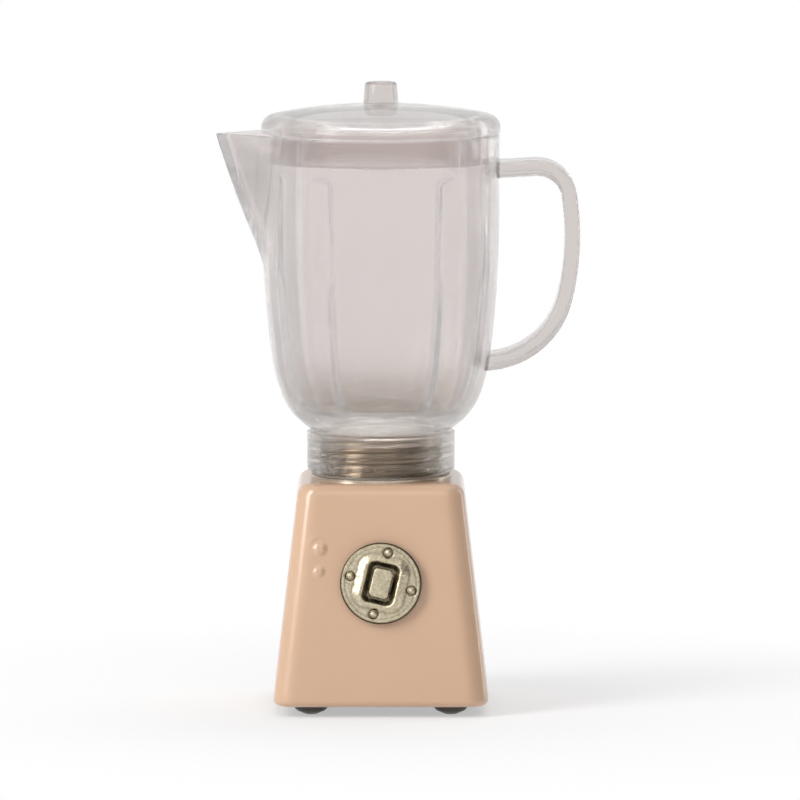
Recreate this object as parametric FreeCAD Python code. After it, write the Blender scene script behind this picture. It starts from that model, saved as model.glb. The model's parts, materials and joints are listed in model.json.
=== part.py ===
import FreeCAD, Part
import math
import os

# Toy countertop blender for a doll's house kitchen. All sizes are in millimetres.
# The jar axis is vertical, the dial faces -Y, the spout points to -X and the handle to +X.
# The origin is on the floor, in the middle of the whole object's box.

# Base housing
base_lift = 1.1
base_height = 23.1
base_bottom_half = 11.30
base_top_half = 8.60
base_corner_radius = 2.2
base_top_round = 1.4
base_bottom_round = 0.7
base_wall = 1.2
base_inner_round = 0.4

# Paint blobs beside the front left corner: sideways place, height, radius
blob_rise = 0.22
upper_blob = (-6.34, 17.56, 0.75)
lower_blob = (-6.45, 15.18, 0.62)

# Bottom plate, its screws and the feet
plate_thickness = 0.8
plate_recess = 0.3
plate_gap = 0.1
post_inset = 5.7
post_radius = 1.3
plate_screw_radius = 0.45
plate_screw_length = 4.5
plate_screw_head_radius = 0.95
plate_screw_head_height = 0.5
foot_inset = 4.0
foot_radius = 2.05
foot_flat_radius = 0.6
foot_stem_radius = 0.7
foot_stem_proud = 0.2

# Threaded boss under the jar
boss_flange_radius = 7.35
boss_flange_height = 0.3
boss_root_radius = 5.95
thread_depth = 0.45
boss_height = 3.8
boss_top_chamfer = 0.45
thread_pitch = 1.2
thread_root_width = 0.95
thread_crest_width = 0.3
thread_gap = 0.09
peg_radius = 0.5
peg_length = 0.8
peg_offset = 3.5

# Screw and washer that hold the boss
boss_screw_radius = 0.75
boss_screw_length = 4.2
boss_screw_head_radius = 1.6
boss_screw_head_height = 0.8
washer_radius = 2.3
washer_thickness = 0.3

# Fits
press_gap = 0.01
hole_gap = 0.03
running_gap = 0.05
seat_gap = 0.02

# How far a cutting block runs past what it cuts
cut_over = 1.0

# Dial on the front face
dial_height = 14.0
dial_turn = -13.5
dial_radius = 4.25
dial_thickness = 0.6
dial_edge_round = 0.22
dial_washer_thickness = 0.15
dial_washer_inset = 0.35
ridge_side_land = 1.025
ridge_end_land = 0.55
ridge_corner = 1.3
ridge_height = 0.4
ridge_round = 0.17
well_side_room = 0.525
well_end_room = 0.6
well_corner = 0.7
well_floor = 0.5
rivet_inset = 0.97
rivet_radius = 0.35
rivet_rise = 0.2
rivet_stem_radius = 0.18
rivet_count = 4
hub_radius = 1.6
ring_thickness = 0.3
ring_overlap = 0.6
ring_groove_depth = 0.25
hub_lip = 0.3

# Key in the middle of the dial, with its spring and clip
key_width = 2.0
key_length = 3.0
key_corner = 0.45
key_thickness = 0.38
key_round = 0.12
key_travel = 0.38
key_shank_radius = 0.5
key_shank_tail = 0.3
clip_overlap = 0.6
clip_thickness = 0.2
clip_groove_depth = 0.12
clip_mouth = 0.624
spring_wire_radius = 0.08
spring_inner_room = 0.16
spring_turns = 3
spring_outer_room = 0.18
spring_well_depth = 1.5

# Seal ring between the flange and the neck
seal_inset = 0.05
seal_width = 0.4
seal_thickness = 0.2

# Jar
jar_radius = 12.44
jar_wall = 1.0
jar_straight_length = 8.91
bowl_upper_radius = 107.1
bowl_upper_turn = 7.78
bowl_middle_radius = 17.69
bowl_middle_turn = 13.61
bowl_lower_radius = 7.18
jar_floor_thickness = 2.6
jar_floor_round = 1.0
neck_height = 4.32
neck_wall = 1.26
neck_ledge = 0.765
neck_bottom_round = 0.5
neck_room = 1.0
nub_width = 1.3
nub_height = 0.8
nub_depth = 0.35

# Ribs inside the jar
rib_count = 10
rib_first_angle = -87.5
rib_tube_radius = 2.9
rib_rise = 0.7
rib_top_drop = 3.7
rib_end_round = 1.2

# Spout
spout_projection = 4.86
spout_depth = 13.2
spout_nose_radius = 102.0
spout_corner_radius = 0.35
spout_inner_corner = 0.3
spout_wall = 0.95
spout_tuck = 0.93
spout_foot_depth = 1.6
channel_foot_depth = 0.6
spout_levels = 6

# Handle
handle_projection = 8.4
handle_thickness = 1.6
handle_width = 6.2
handle_edge_round = 0.35
handle_arm_drop = 3.69
handle_arm_tilt = 2.9
handle_corner_radius = 3.4
handle_back_radius = 28.0
handle_back_drop = 10.6
handle_low_radius = 8.8
handle_low_drop = 23.95
handle_root_sink = 0.84
handle_tail_sink = 2.84

# Lid and knob
lid_overhang = 0.11
lid_seat_gap = 0.05
lid_edge_height = 1.675
lid_dome_radius = 58.8
lid_shoulder_round = 1.4
lid_ceiling = 1.2
lid_inner_round = 0.5
skirt_fit = 0.14
skirt_wall = 0.9
skirt_length = 3.05
skirt_round = 0.25
knob_bottom_radius = 1.85
knob_top_radius = 1.66
knob_height = 2.32
knob_round = 0.4
spigot_radius = 1.17
spigot_length = 0.45
spigot_room = 0.05

# Sizes that follow from those above
base_top = base_lift + base_height
base_slope = (base_bottom_half - base_top_half) / base_height
face_tilt = math.degrees(math.atan(base_slope))
wall_run = base_wall / math.cos(math.radians(face_tilt))
plate_bottom = base_lift + plate_recess
foot_offset = base_bottom_half - foot_inset
post_offset = base_bottom_half - post_inset
boss_crest_radius = boss_root_radius + thread_depth
plate_top = plate_bottom + plate_thickness
ceiling = base_top - base_wall
flange_top = base_top + boss_flange_height
boss_top = base_top + boss_height
seal_bottom = flange_top + seat_gap
seal_outer_radius = boss_flange_radius - seal_inset
seal_inner_radius = seal_outer_radius - seal_width
neck_radius = boss_crest_radius + thread_gap + neck_wall
neck_bottom = seal_bottom + seal_thickness + seat_gap
neck_ceiling = boss_top + neck_room
dial_back = dial_washer_thickness + seat_gap
dial_front = dial_back + dial_thickness
ridge_top = dial_front + ridge_height
dial_washer_radius = dial_radius - dial_washer_inset
well_width = key_width + 2 * well_side_room
well_length = key_length + 2 * well_end_room
ridge_width = well_width + 2 * ridge_side_land
ridge_length = well_length + 2 * ridge_end_land
rivet_circle_radius = dial_radius - rivet_inset
ring_radius = hub_radius + ring_overlap
clip_radius = key_shank_radius + clip_overlap
spring_coil_radius = key_shank_radius + spring_inner_room + spring_wire_radius
spring_well_radius = spring_coil_radius + spring_wire_radius + spring_outer_room
hub_end = -(base_wall + running_gap + ring_thickness + hub_lip)
key_back = well_floor + key_travel + seat_gap
spring_floor = well_floor - spring_well_depth
jar_floor_height = neck_ceiling + jar_floor_thickness
spout_reach = jar_radius + spout_projection
handle_reach = jar_radius + handle_projection
frame_shift = (spout_reach - handle_reach) / 2
origin = FreeCAD.Vector(0, 0, 0)
up = FreeCAD.Vector(0, 0, 1)


def bowl_arcs():
    """Arcs of the bowl's side as (radius, turn), the last one down to the ledge over the neck."""
    middle = jar_radius - bowl_upper_radius
    middle += (bowl_upper_radius - bowl_middle_radius) * math.cos(math.radians(bowl_upper_turn))
    turn = bowl_upper_turn + bowl_middle_turn
    middle += (bowl_middle_radius - bowl_lower_radius) * math.cos(math.radians(turn))
    end = math.degrees(math.acos((neck_radius - neck_ledge - middle) / bowl_lower_radius))
    return (
        (bowl_upper_radius, bowl_upper_turn),
        (bowl_middle_radius, bowl_middle_turn),
        (bowl_lower_radius, end - turn),
    )


def bowl_depth():
    depth = 0.0
    turn = 0.0
    for radius, bend in bowl_arcs():
        depth += radius * (math.sin(math.radians(turn + bend)) - math.sin(math.radians(turn)))
        turn += bend
    return depth


# Heights of the jar and the lid, counted up from the neck's bottom edge
jar_straight_end = neck_bottom + neck_height + bowl_depth()
jar_rim_height = jar_straight_end + jar_straight_length
rib_top_height = jar_rim_height - rib_top_drop
spout_root_height = jar_rim_height - spout_depth
handle_arm_height = jar_rim_height - handle_arm_drop
handle_back_height = jar_rim_height - handle_back_drop
handle_low_height = jar_rim_height - handle_low_drop
handle_root_x = jar_radius - handle_root_sink
handle_tail_x = jar_radius - handle_tail_sink
lid_radius = jar_radius + lid_overhang
skirt_outer_radius = jar_radius - jar_wall - skirt_fit
lid_bottom = jar_rim_height + lid_seat_gap
lid_sag = lid_dome_radius - math.sqrt(lid_dome_radius ** 2 - lid_radius ** 2)
lid_crown_height = lid_bottom + lid_edge_height + lid_sag


def base_half_at(z):
    return base_bottom_half - base_slope * (z - base_lift)


def cylinder(radius, z_low, z_high, x=0.0, y=0.0):
    return Part.makeCylinder(radius, z_high - z_low, FreeCAD.Vector(x, y, z_low), up)


def revolved(points):
    """Full turn about Z of a closed outline of (radius, height) points."""
    corners = [FreeCAD.Vector(r, 0, z) for r, z in points]
    face = Part.Face(Part.makePolygon(corners + corners[:1]))
    return face.revolve(origin, up, 360)


def circles_at(shape, z, radius=None):
    """Round edges that lie at one height, and have one radius if it is given."""
    found = []
    for edge in shape.Edges:
        if edge.Degenerated or not isinstance(edge.Curve, Part.Circle):
            continue
        level = abs(edge.BoundBox.ZMin - z) < 1e-4 and abs(edge.BoundBox.ZMax - z) < 1e-4
        if level and (radius is None or abs(edge.Curve.Radius - radius) < 1e-4):
            found.append(edge)
    return found


def edges_at(shape, z):
    return [e for e in shape.Edges if abs(e.BoundBox.ZMin - z) < 1e-4 and abs(e.BoundBox.ZMax - z) < 1e-4]


def square_frustum(low_half, high_half, z_low, z_high, corner):
    """Tapered square block with its four standing edges rounded."""
    block = Part.makeWedge(
        -low_half, z_low, -low_half, -high_half, -high_half,
        low_half, z_high, low_half, high_half, high_half,
    )
    block.rotate(origin, FreeCAD.Vector(1, 0, 0), 90)
    height = z_high - z_low
    standing = [e for e in block.Edges if e.BoundBox.ZLength > height / 2]
    return block.makeFillet(corner, standing)


def rounded_slab(width, length, corner, z_low, z_high):
    """Flat block with rounded plan corners, centred on Z."""
    block = Part.makeBox(width, length, z_high - z_low, FreeCAD.Vector(-width / 2, -length / 2, z_low))
    height = z_high - z_low
    standing = [e for e in block.Edges if e.BoundBox.ZLength > height / 2]
    return block.makeFillet(corner, standing)


def on_front(shape):
    """Moves a piece from the dial's own frame, with +Z outwards, to the front face."""
    stand = FreeCAD.Rotation(FreeCAD.Vector(1, 0, 0), 90 - face_tilt)
    spin = FreeCAD.Rotation(up, dial_turn)
    place = FreeCAD.Vector(0, -base_half_at(dial_height), dial_height)
    return shape.transformGeometry(FreeCAD.Placement(place, stand.multiply(spin)).toMatrix())


def thread_coil(gap):
    """Right-hand helical ridge of the boss, swollen by a gap to cut its mate, past both ends of the boss."""
    root_radius = boss_root_radius + gap
    crest_radius = boss_crest_radius + gap
    root_width = thread_root_width + 2 * gap
    crest_width = thread_crest_width + 2 * gap
    start = base_top - thread_pitch
    length = boss_height + 2 * thread_pitch
    helix = Part.makeHelix(thread_pitch, length, root_radius)
    helix.translate(FreeCAD.Vector(0, 0, start))
    bite = 0.15
    corners = [
        FreeCAD.Vector(root_radius - bite, 0, start - root_width / 2),
        FreeCAD.Vector(crest_radius, 0, start - crest_width / 2),
        FreeCAD.Vector(crest_radius, 0, start + crest_width / 2),
        FreeCAD.Vector(root_radius - bite, 0, start + root_width / 2),
    ]
    profile = Part.makePolygon(corners + corners[:1])
    return Part.Wire(helix.Edges).makePipeShell([profile], True, True)


def cross_recess(z, reach, width, depth):
    """Cross for a screwdriver, cut upwards from a head's lower face."""
    bar = Part.makeBox(2 * reach, width, depth, FreeCAD.Vector(-reach, -width / 2, z))
    other = Part.makeBox(width, 2 * reach, depth, FreeCAD.Vector(-width / 2, -reach, z))
    return bar.fuse(other)


def make_blob(place):
    """Low dome of thick paint on the front face."""
    side, height, radius = place
    ball = (radius ** 2 + blob_rise ** 2) / (2 * blob_rise)
    sink = base_wall / 2
    low = math.degrees(math.asin((ball - blob_rise - sink) / ball)) if ball > sink else 0
    cap = Part.makeSphere(ball, origin, up, low, 90, 360)
    cap.translate(FreeCAD.Vector(0, 0, blob_rise - ball))
    cap.rotate(origin, FreeCAD.Vector(1, 0, 0), 90 - face_tilt)
    cap.translate(FreeCAD.Vector(side, -base_half_at(height), height))
    return cap


def make_base_housing():
    shell = square_frustum(base_bottom_half, base_top_half, base_lift, base_top, base_corner_radius)
    shell = shell.makeFillet(base_top_round, edges_at(shell, base_top))
    shell = shell.makeFillet(base_bottom_round, edges_at(shell, base_lift))
    below = base_lift - 1
    cavity = square_frustum(
        base_half_at(below) - wall_run, base_half_at(ceiling) - wall_run,
        below, ceiling, base_corner_radius - base_wall,
    )
    cavity = cavity.makeFillet(base_inner_round, edges_at(cavity, ceiling))
    posts = [cylinder(post_radius, plate_top, ceiling, x) for x in (-post_offset, post_offset)]
    shell = shell.cut(cavity).fuse(posts)
    shell = shell.fuse([make_blob(upper_blob), make_blob(lower_blob)])
    cuts = [
        cylinder(plate_screw_radius + press_gap, plate_top, plate_top + plate_screw_length, x)
        for x in (-post_offset, post_offset)
    ]
    cuts.append(cylinder(boss_screw_radius + hole_gap, ceiling - cut_over, base_top + cut_over))
    cuts.append(cylinder(peg_radius + hole_gap, base_top - peg_length - seat_gap, base_top + cut_over, peg_offset))
    cuts.append(on_front(cylinder(hub_radius + running_gap, -2 * base_wall, 1)))
    return shell.cut(cuts)


def make_bottom_plate():
    low_half = base_half_at(plate_bottom) - wall_run - plate_gap
    high_half = base_half_at(plate_top) - wall_run - plate_gap
    plate = square_frustum(low_half, high_half, plate_bottom, plate_top, base_corner_radius - base_wall)
    holes = [
        cylinder(plate_screw_radius + hole_gap, plate_bottom - cut_over, plate_top + cut_over, x)
        for x in (-post_offset, post_offset)
    ]
    for x, y in foot_places().values():
        holes.append(cylinder(foot_stem_radius + press_gap, plate_bottom - cut_over, plate_top + cut_over, x, y))
    return plate.cut(holes)


def foot_places():
    return {
        "foot_front_left": (-foot_offset, -foot_offset),
        "foot_front_right": (foot_offset, -foot_offset),
        "foot_rear_left": (-foot_offset, foot_offset),
        "foot_rear_right": (foot_offset, foot_offset),
    }


def make_foot(x, y):
    """Rubber bumper: a bulging side from the plate down to a small flat, with a stem through the plate."""
    bulge_r = foot_flat_radius + 0.72 * (foot_radius - foot_flat_radius)
    bulge = FreeCAD.Vector(bulge_r, 0, 0.3 * plate_bottom)
    low = FreeCAD.Vector(foot_flat_radius, 0, 0)
    high = FreeCAD.Vector(foot_radius, 0, plate_bottom)
    side = Part.Arc(low, bulge, high).toShape()
    stem_top = plate_top + foot_stem_proud
    points = [
        high,
        FreeCAD.Vector(foot_stem_radius, 0, plate_bottom),
        FreeCAD.Vector(foot_stem_radius, 0, stem_top),
        FreeCAD.Vector(0, 0, stem_top),
        origin,
        low,
    ]
    rest = Part.makePolygon(points).Edges
    foot = Part.Face(Part.Wire([side] + rest)).revolve(origin, up, 360)
    foot.translate(FreeCAD.Vector(x, y, 0))
    return foot


def make_plate_screws():
    screws = []
    for x in (-post_offset, post_offset):
        head_low = plate_bottom - plate_screw_head_height
        head = cylinder(plate_screw_head_radius, head_low, plate_bottom)
        head = head.makeFillet(plate_screw_head_height / 2, circles_at(head, head_low))
        shank = cylinder(plate_screw_radius, plate_bottom - 0.1, plate_bottom + plate_screw_length)
        reach = 0.6 * plate_screw_head_radius
        cross = cross_recess(head_low, reach, reach / 2, plate_screw_head_height / 2)
        screw = head.fuse(shank).cut(cross)
        screw.translate(FreeCAD.Vector(x, 0, 0))
        screws.append(screw)
    return Part.makeCompound(screws)


def make_jar_boss():
    core = cylinder(boss_root_radius, base_top, boss_top)
    core = core.makeChamfer(boss_top_chamfer / 2, circles_at(core, boss_top))
    band = revolved([
        (0, flange_top),
        (boss_crest_radius + cut_over, flange_top),
        (boss_crest_radius + cut_over, boss_top - boss_top_chamfer - cut_over),
        (boss_crest_radius - boss_top_chamfer, boss_top),
        (0, boss_top),
    ])
    boss = core.fuse(thread_coil(0).common(band))
    flange = cylinder(boss_flange_radius, base_top, flange_top)
    flange = flange.makeChamfer(boss_flange_height / 4, circles_at(flange, flange_top))
    boss = boss.fuse(flange)
    boss = boss.fuse(cylinder(peg_radius, base_top - peg_length, base_top + 0.1, peg_offset))
    bore_depth = boss_screw_length - base_wall - washer_thickness + 0.2
    return boss.cut(cylinder(boss_screw_radius + press_gap, base_top - cut_over, base_top + bore_depth))


def make_boss_washer():
    washer = cylinder(washer_radius, ceiling - washer_thickness, ceiling)
    return washer.cut(cylinder(boss_screw_radius + hole_gap, ceiling - cut_over, ceiling + cut_over))


def make_boss_screw():
    seat = ceiling - washer_thickness
    low = seat - boss_screw_head_height
    head = cylinder(boss_screw_head_radius, low, seat)
    head = head.makeFillet(boss_screw_head_height / 2, circles_at(head, low))
    shank = cylinder(boss_screw_radius, seat - 0.1, seat + boss_screw_length)
    reach = 0.6 * boss_screw_head_radius
    return head.fuse(shank).cut(cross_recess(low, reach, reach / 2, boss_screw_head_height / 2))


def make_dial_washer():
    washer = cylinder(dial_washer_radius, 0, dial_washer_thickness)
    return on_front(washer.cut(cylinder(hub_radius + running_gap, -1, 1)))


def rivet_spots():
    spots = []
    for index in range(rivet_count):
        angle = 2 * math.pi * index / rivet_count
        spots.append((rivet_circle_radius * math.cos(angle), rivet_circle_radius * math.sin(angle)))
    return spots


def make_dial_plate():
    disc = cylinder(dial_radius, dial_back, dial_front)
    disc = disc.makeFillet(dial_edge_round, circles_at(disc, dial_front))
    ridge = rounded_slab(ridge_width, ridge_length, ridge_corner, dial_back, ridge_top)
    ridge = ridge.makeFillet(ridge_round, edges_at(ridge, ridge_top))
    plate = disc.fuse(ridge)
    well = rounded_slab(well_width, well_length, well_corner, well_floor, ridge_top + cut_over)
    plate = plate.cut(well)
    rim = [e for e in edges_at(plate, ridge_top) if e.BoundBox.XLength < well_width + 0.01]
    rim = [e for e in rim if abs(e.CenterOfMass.x) < well_width / 2 + 0.01]
    plate = plate.makeFillet(ridge_round, rim)
    plate = plate.fuse(cylinder(hub_radius, hub_end, dial_back + 0.1))
    groove_high = -(base_wall + running_gap)
    groove = cylinder(hub_radius + cut_over, groove_high - ring_thickness, groove_high)
    groove = groove.cut(cylinder(hub_radius - ring_groove_depth, groove_high - ring_thickness, groove_high))
    cuts = [
        groove,
        cylinder(spring_well_radius, spring_floor, ridge_top),
        cylinder(key_shank_radius + running_gap, hub_end - cut_over, ridge_top),
    ]
    for x, y in rivet_spots():
        cuts.append(cylinder(rivet_stem_radius + press_gap, dial_back - cut_over, dial_front + cut_over, x, y))
    return on_front(plate.cut(cuts))


def make_dial_rivets():
    rivets = []
    ball = (rivet_radius ** 2 + rivet_rise ** 2) / (2 * rivet_rise)
    low = math.degrees(math.asin((ball - rivet_rise) / ball))
    for x, y in rivet_spots():
        dome = Part.makeSphere(ball, origin, up, low, 90, 360)
        dome.translate(FreeCAD.Vector(x, y, dial_front + rivet_rise - ball))
        stem = cylinder(rivet_stem_radius, dial_back, dial_front + rivet_rise / 4, x, y)
        rivets.append(on_front(dome.fuse(stem)))
    return Part.makeCompound(rivets)


def make_retaining_ring():
    high = -(base_wall + running_gap)
    low = high - ring_thickness
    inner = hub_radius - ring_groove_depth + press_gap
    ring = cylinder(ring_radius, low + press_gap, high - press_gap)
    ring = ring.cut(cylinder(inner, low - cut_over, high + cut_over))
    height = ring_thickness + 2 * cut_over
    gap = Part.makeBox(ring_radius + cut_over, inner, height, FreeCAD.Vector(0, -inner / 2, low - cut_over))
    return on_front(ring.cut(gap))


def clip_top():
    """Inner end of the hub, where the key's clip rests."""
    return hub_end - seat_gap


def make_key():
    cap = rounded_slab(key_width, key_length, key_corner, key_back, key_back + key_thickness)
    cap = cap.makeFillet(key_round, edges_at(cap, key_back + key_thickness))
    tail = clip_top() - clip_thickness - key_shank_tail
    key = cap.fuse(cylinder(key_shank_radius, tail, key_back + 0.1))
    low = clip_top() - clip_thickness
    groove = cylinder(key_shank_radius + cut_over, low, clip_top())
    groove = groove.cut(cylinder(key_shank_radius - clip_groove_depth, low, clip_top()))
    return on_front(key.cut(groove))


def make_key_clip():
    low = clip_top() - clip_thickness
    inner = key_shank_radius - clip_groove_depth + press_gap
    clip = cylinder(clip_radius, low + press_gap, clip_top() - press_gap)
    clip = clip.cut(cylinder(inner, low - cut_over, clip_top() + cut_over))
    height = clip_thickness + 2 * cut_over
    corner = FreeCAD.Vector(0, -clip_mouth / 2, low - cut_over)
    slot = Part.makeBox(clip_radius + cut_over, clip_mouth, height, corner)
    return on_front(clip.cut(slot))


def make_key_spring():
    low = spring_floor + spring_wire_radius + seat_gap
    high = key_back - spring_wire_radius - seat_gap
    rise = high - low
    pitch = rise / spring_turns
    helix = Part.makeHelix(pitch, rise, spring_coil_radius)
    helix.translate(FreeCAD.Vector(0, 0, low))
    start = FreeCAD.Vector(spring_coil_radius, 0, low)
    heading = FreeCAD.Vector(0, 2 * math.pi * spring_coil_radius, pitch)
    ring = Part.Wire(Part.makeCircle(spring_wire_radius, start, heading))
    return on_front(Part.Wire(helix.Edges).makePipeShell([ring], True, True))


def make_neck_seal():
    ring = cylinder(seal_outer_radius, seal_bottom, seal_bottom + seal_thickness)
    return ring.cut(cylinder(seal_inner_radius, seal_bottom - cut_over, seal_bottom + cut_over))


def wall_chain(inset):
    """Arcs of the jar's side from its straight part inwards, drawn in by the inset.

    Each is (centre radius, centre height, arc radius, start angle, end angle), with
    the angle counted from level, so a point is at centre + radius * (cos, -sin).
    """
    r = jar_radius
    z = jar_straight_end
    angle = 0.0
    chain = []
    for radius, turn in bowl_arcs():
        centre_r = r - radius * math.cos(math.radians(angle))
        centre_z = z + radius * math.sin(math.radians(angle))
        chain.append((centre_r, centre_z, radius - inset, angle, angle + turn))
        angle += turn
        r = centre_r + radius * math.cos(math.radians(angle))
        z = centre_z - radius * math.sin(math.radians(angle))
    return chain


def chain_point(arc, angle):
    centre_r, centre_z, radius = arc[:3]
    turn = math.radians(angle)
    return FreeCAD.Vector(centre_r + radius * math.cos(turn), 0, centre_z - radius * math.sin(turn))


def chain_edges(chain):
    """The chain as tangent arcs in the XZ plane, from the top down."""
    edges = []
    for arc in chain:
        low, high = arc[3], arc[4]
        points = [chain_point(arc, a) for a in (low, (low + high) / 2, high)]
        edges.append(Part.Arc(*points).toShape())
    return edges


def line(a, b):
    return Part.makeLine(a, b)


def spun(edges):
    return Part.Face(Part.Wire(Part.sortEdges(edges)[0])).revolve(origin, up, 360)


def make_jar_outside():
    """The jar's outer form as one filled solid, without the spout."""
    chain = wall_chain(0)
    first = chain_point(chain[0], 0)
    last = chain_point(chain[-1], chain[-1][4])
    rim = FreeCAD.Vector(jar_radius, 0, jar_rim_height)
    under = FreeCAD.Vector(neck_radius, 0, last.z)
    foot = FreeCAD.Vector(neck_radius, 0, neck_bottom)
    edges = chain_edges(chain)
    edges += [
        line(rim, first),
        line(last, under),
        line(under, foot),
        line(foot, FreeCAD.Vector(0, 0, neck_bottom)),
        line(FreeCAD.Vector(0, 0, neck_bottom), FreeCAD.Vector(0, 0, jar_rim_height)),
        line(FreeCAD.Vector(0, 0, jar_rim_height), rim),
    ]
    body = spun(edges)
    return body.makeFillet(neck_bottom_round, circles_at(body, neck_bottom))


def make_jar_cavity():
    """The space inside the jar, with the ribs taken out of it."""
    chain = wall_chain(jar_wall)
    last = chain[-1]
    floor_angle = math.degrees(math.asin((last[1] - jar_floor_height) / last[2]))
    chain[-1] = last[:4] + (floor_angle,)
    top = jar_rim_height + 1
    inner = jar_radius - jar_wall
    corner = chain_point(chain[-1], floor_angle)
    edges = chain_edges(chain)
    edges += [
        line(FreeCAD.Vector(inner, 0, top), chain_point(chain[0], 0)),
        line(corner, FreeCAD.Vector(0, 0, jar_floor_height)),
        line(FreeCAD.Vector(0, 0, jar_floor_height), FreeCAD.Vector(0, 0, top)),
        line(FreeCAD.Vector(0, 0, top), FreeCAD.Vector(inner, 0, top)),
    ]
    room = spun(edges)
    room = room.makeFillet(jar_floor_round, circles_at(room, jar_floor_height))
    return room.cut(make_rib_tubes())


def make_rib_tubes():
    """Tubes that run down outside the inner wall and stand proud of it by the rib's rise."""
    chain = wall_chain(jar_wall - (rib_tube_radius - rib_rise))
    head = chain_point(chain[0], 0)
    top = FreeCAD.Vector(head.x, 0, rib_top_height)
    path = Part.Wire([line(top, head)] + chain_edges(chain))
    ring = Part.Wire(Part.makeCircle(rib_tube_radius, top, up))
    tube = path.makePipeShell([ring], True, False)
    tube = tube.makeFillet(rib_end_round, circles_at(tube, rib_top_height, rib_tube_radius))
    tubes = []
    for index in range(rib_count):
        copy = tube.copy()
        copy.rotate(origin, up, rib_first_angle + 360 * index / rib_count)
        tubes.append(copy)
    return tubes


def wall_radius_at(z):
    """Outer radius of the jar on its straight part and its first, gentlest arc."""
    if z >= jar_straight_end:
        return jar_radius
    drop = jar_straight_end - z
    return jar_radius - bowl_upper_radius + math.sqrt(bowl_upper_radius ** 2 - drop ** 2)


def nose_reach_at(z):
    """Distance of the spout's nose from the jar axis, on its bowed line."""
    low_r = wall_radius_at(spout_root_height)
    run = spout_reach - low_r
    rise = jar_rim_height - spout_root_height
    chord = math.hypot(run, rise)
    back = math.sqrt(spout_nose_radius ** 2 - chord ** 2 / 4)
    centre_r = (spout_reach + low_r) / 2 - back * rise / chord
    centre_z = (jar_rim_height + spout_root_height) / 2 + back * run / chord
    return centre_r + math.sqrt(spout_nose_radius ** 2 - (z - centre_z) ** 2)


def spout_section(z, inset, corner):
    """One level of the spout: two sides that leave the wall and meet in a rounded nose."""
    nose = nose_reach_at(z)
    wall = wall_radius_at(z)
    half = spout_tuck * math.asin(min(1.0, wall / nose))
    shift = (inset + corner - spout_corner_radius) / math.sin(half) if inset else 0.0
    centre = -(nose - spout_corner_radius) + shift
    length = nose * math.cos(half)
    side = FreeCAD.Vector(math.cos(half), math.sin(half), 0)
    touch = FreeCAD.Vector(centre - corner * math.sin(half), corner * math.cos(half), z)
    foot = touch + side * length
    tip = FreeCAD.Vector(centre - corner, 0, z)
    touch_low = FreeCAD.Vector(touch.x, -touch.y, z)
    foot_low = FreeCAD.Vector(foot.x, -foot.y, z)
    edges = [
        line(foot_low, touch_low),
        Part.Arc(touch_low, tip, touch).toShape(),
        line(touch, foot),
        line(foot, foot_low),
    ]
    return Part.Wire(edges)


def spout_loft(z_low, z_high, inset, corner):
    steps = [z_low + (z_high - z_low) * index / spout_levels for index in range(spout_levels + 1)]
    return Part.makeLoft([spout_section(z, inset, corner) for z in steps], True, False)


def make_jar_bowl():
    outside = make_jar_outside().fuse(spout_loft(spout_root_height - spout_foot_depth, jar_rim_height, 0, spout_corner_radius))
    nub = Part.makeBox(
        nub_width, nub_depth + 0.5, nub_height,
        FreeCAD.Vector(-nub_width / 2, -neck_radius - nub_depth, neck_bottom + 0.1),
    )
    nub = nub.makeFillet(nub_depth * 0.8, [e for e in nub.Edges if e.BoundBox.YMax < -neck_radius - nub_depth / 2])
    outside = outside.fuse(nub)
    inside = make_jar_cavity()
    channel_low = spout_root_height - channel_foot_depth
    channel = spout_loft(channel_low, jar_rim_height + cut_over / 2, spout_wall, spout_inner_corner)
    bowl = outside.cut(inside).cut(channel)
    neck_bore = boss_root_radius + thread_gap
    bowl = bowl.cut(cylinder(neck_bore, neck_bottom - cut_over, neck_ceiling))
    groove_room = cylinder(neck_radius, neck_bottom - cut_over, neck_ceiling)
    return bowl.cut(thread_coil(thread_gap).common(groove_room))


def handle_side(offset):
    """One long side of the handle strip in the XZ plane, as edges from the upper root to the lower."""
    tilt = math.radians(handle_arm_tilt)
    along = FreeCAD.Vector(math.cos(tilt), 0, math.sin(tilt))
    inward = FreeCAD.Vector(math.sin(tilt), 0, -math.cos(tilt))
    back_x = handle_reach - handle_thickness / 2 - handle_back_radius
    back = FreeCAD.Vector(back_x, 0, handle_back_height)
    arm = FreeCAD.Vector(jar_radius, 0, handle_arm_height)
    start = arm + inward * handle_corner_radius
    away = start - back
    reach = handle_back_radius - handle_corner_radius
    half_b = away.dot(along)
    root = math.sqrt(half_b ** 2 - away.dot(away) + reach ** 2)
    corner = start + along * (root - half_b)
    drop = handle_back_height - handle_low_height - handle_low_radius
    low_reach = handle_back_radius - handle_low_radius
    low = FreeCAD.Vector(back_x + math.sqrt(low_reach ** 2 - drop ** 2), 0, handle_back_height - drop)

    to_corner = (corner - back).normalize()
    to_low = (low - back).normalize()
    level = FreeCAD.Vector(1, 0, 0)
    down = FreeCAD.Vector(0, 0, -1)
    arm_root = arm - along * ((jar_radius - handle_root_x) / math.cos(tilt)) - inward * offset
    corner_start = corner - inward * (handle_corner_radius + offset)
    corner_mid = corner + (to_corner - inward).normalize() * (handle_corner_radius + offset)
    corner_end = corner + to_corner * (handle_corner_radius + offset)
    back_mid = back + level * (handle_back_radius + offset)
    back_end = low + to_low * (handle_low_radius + offset)
    low_mid = low + (to_low + down).normalize() * (handle_low_radius + offset)
    low_end = low + down * (handle_low_radius + offset)
    tail = FreeCAD.Vector(handle_tail_x, 0, low_end.z)
    return [
        line(arm_root, corner_start),
        Part.Arc(corner_start, corner_mid, corner_end).toShape(),
        Part.Arc(corner_end, back_mid, back_end).toShape(),
        Part.Arc(back_end, low_mid, low_end).toShape(),
        line(low_end, tail),
    ], arm_root, tail


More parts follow.
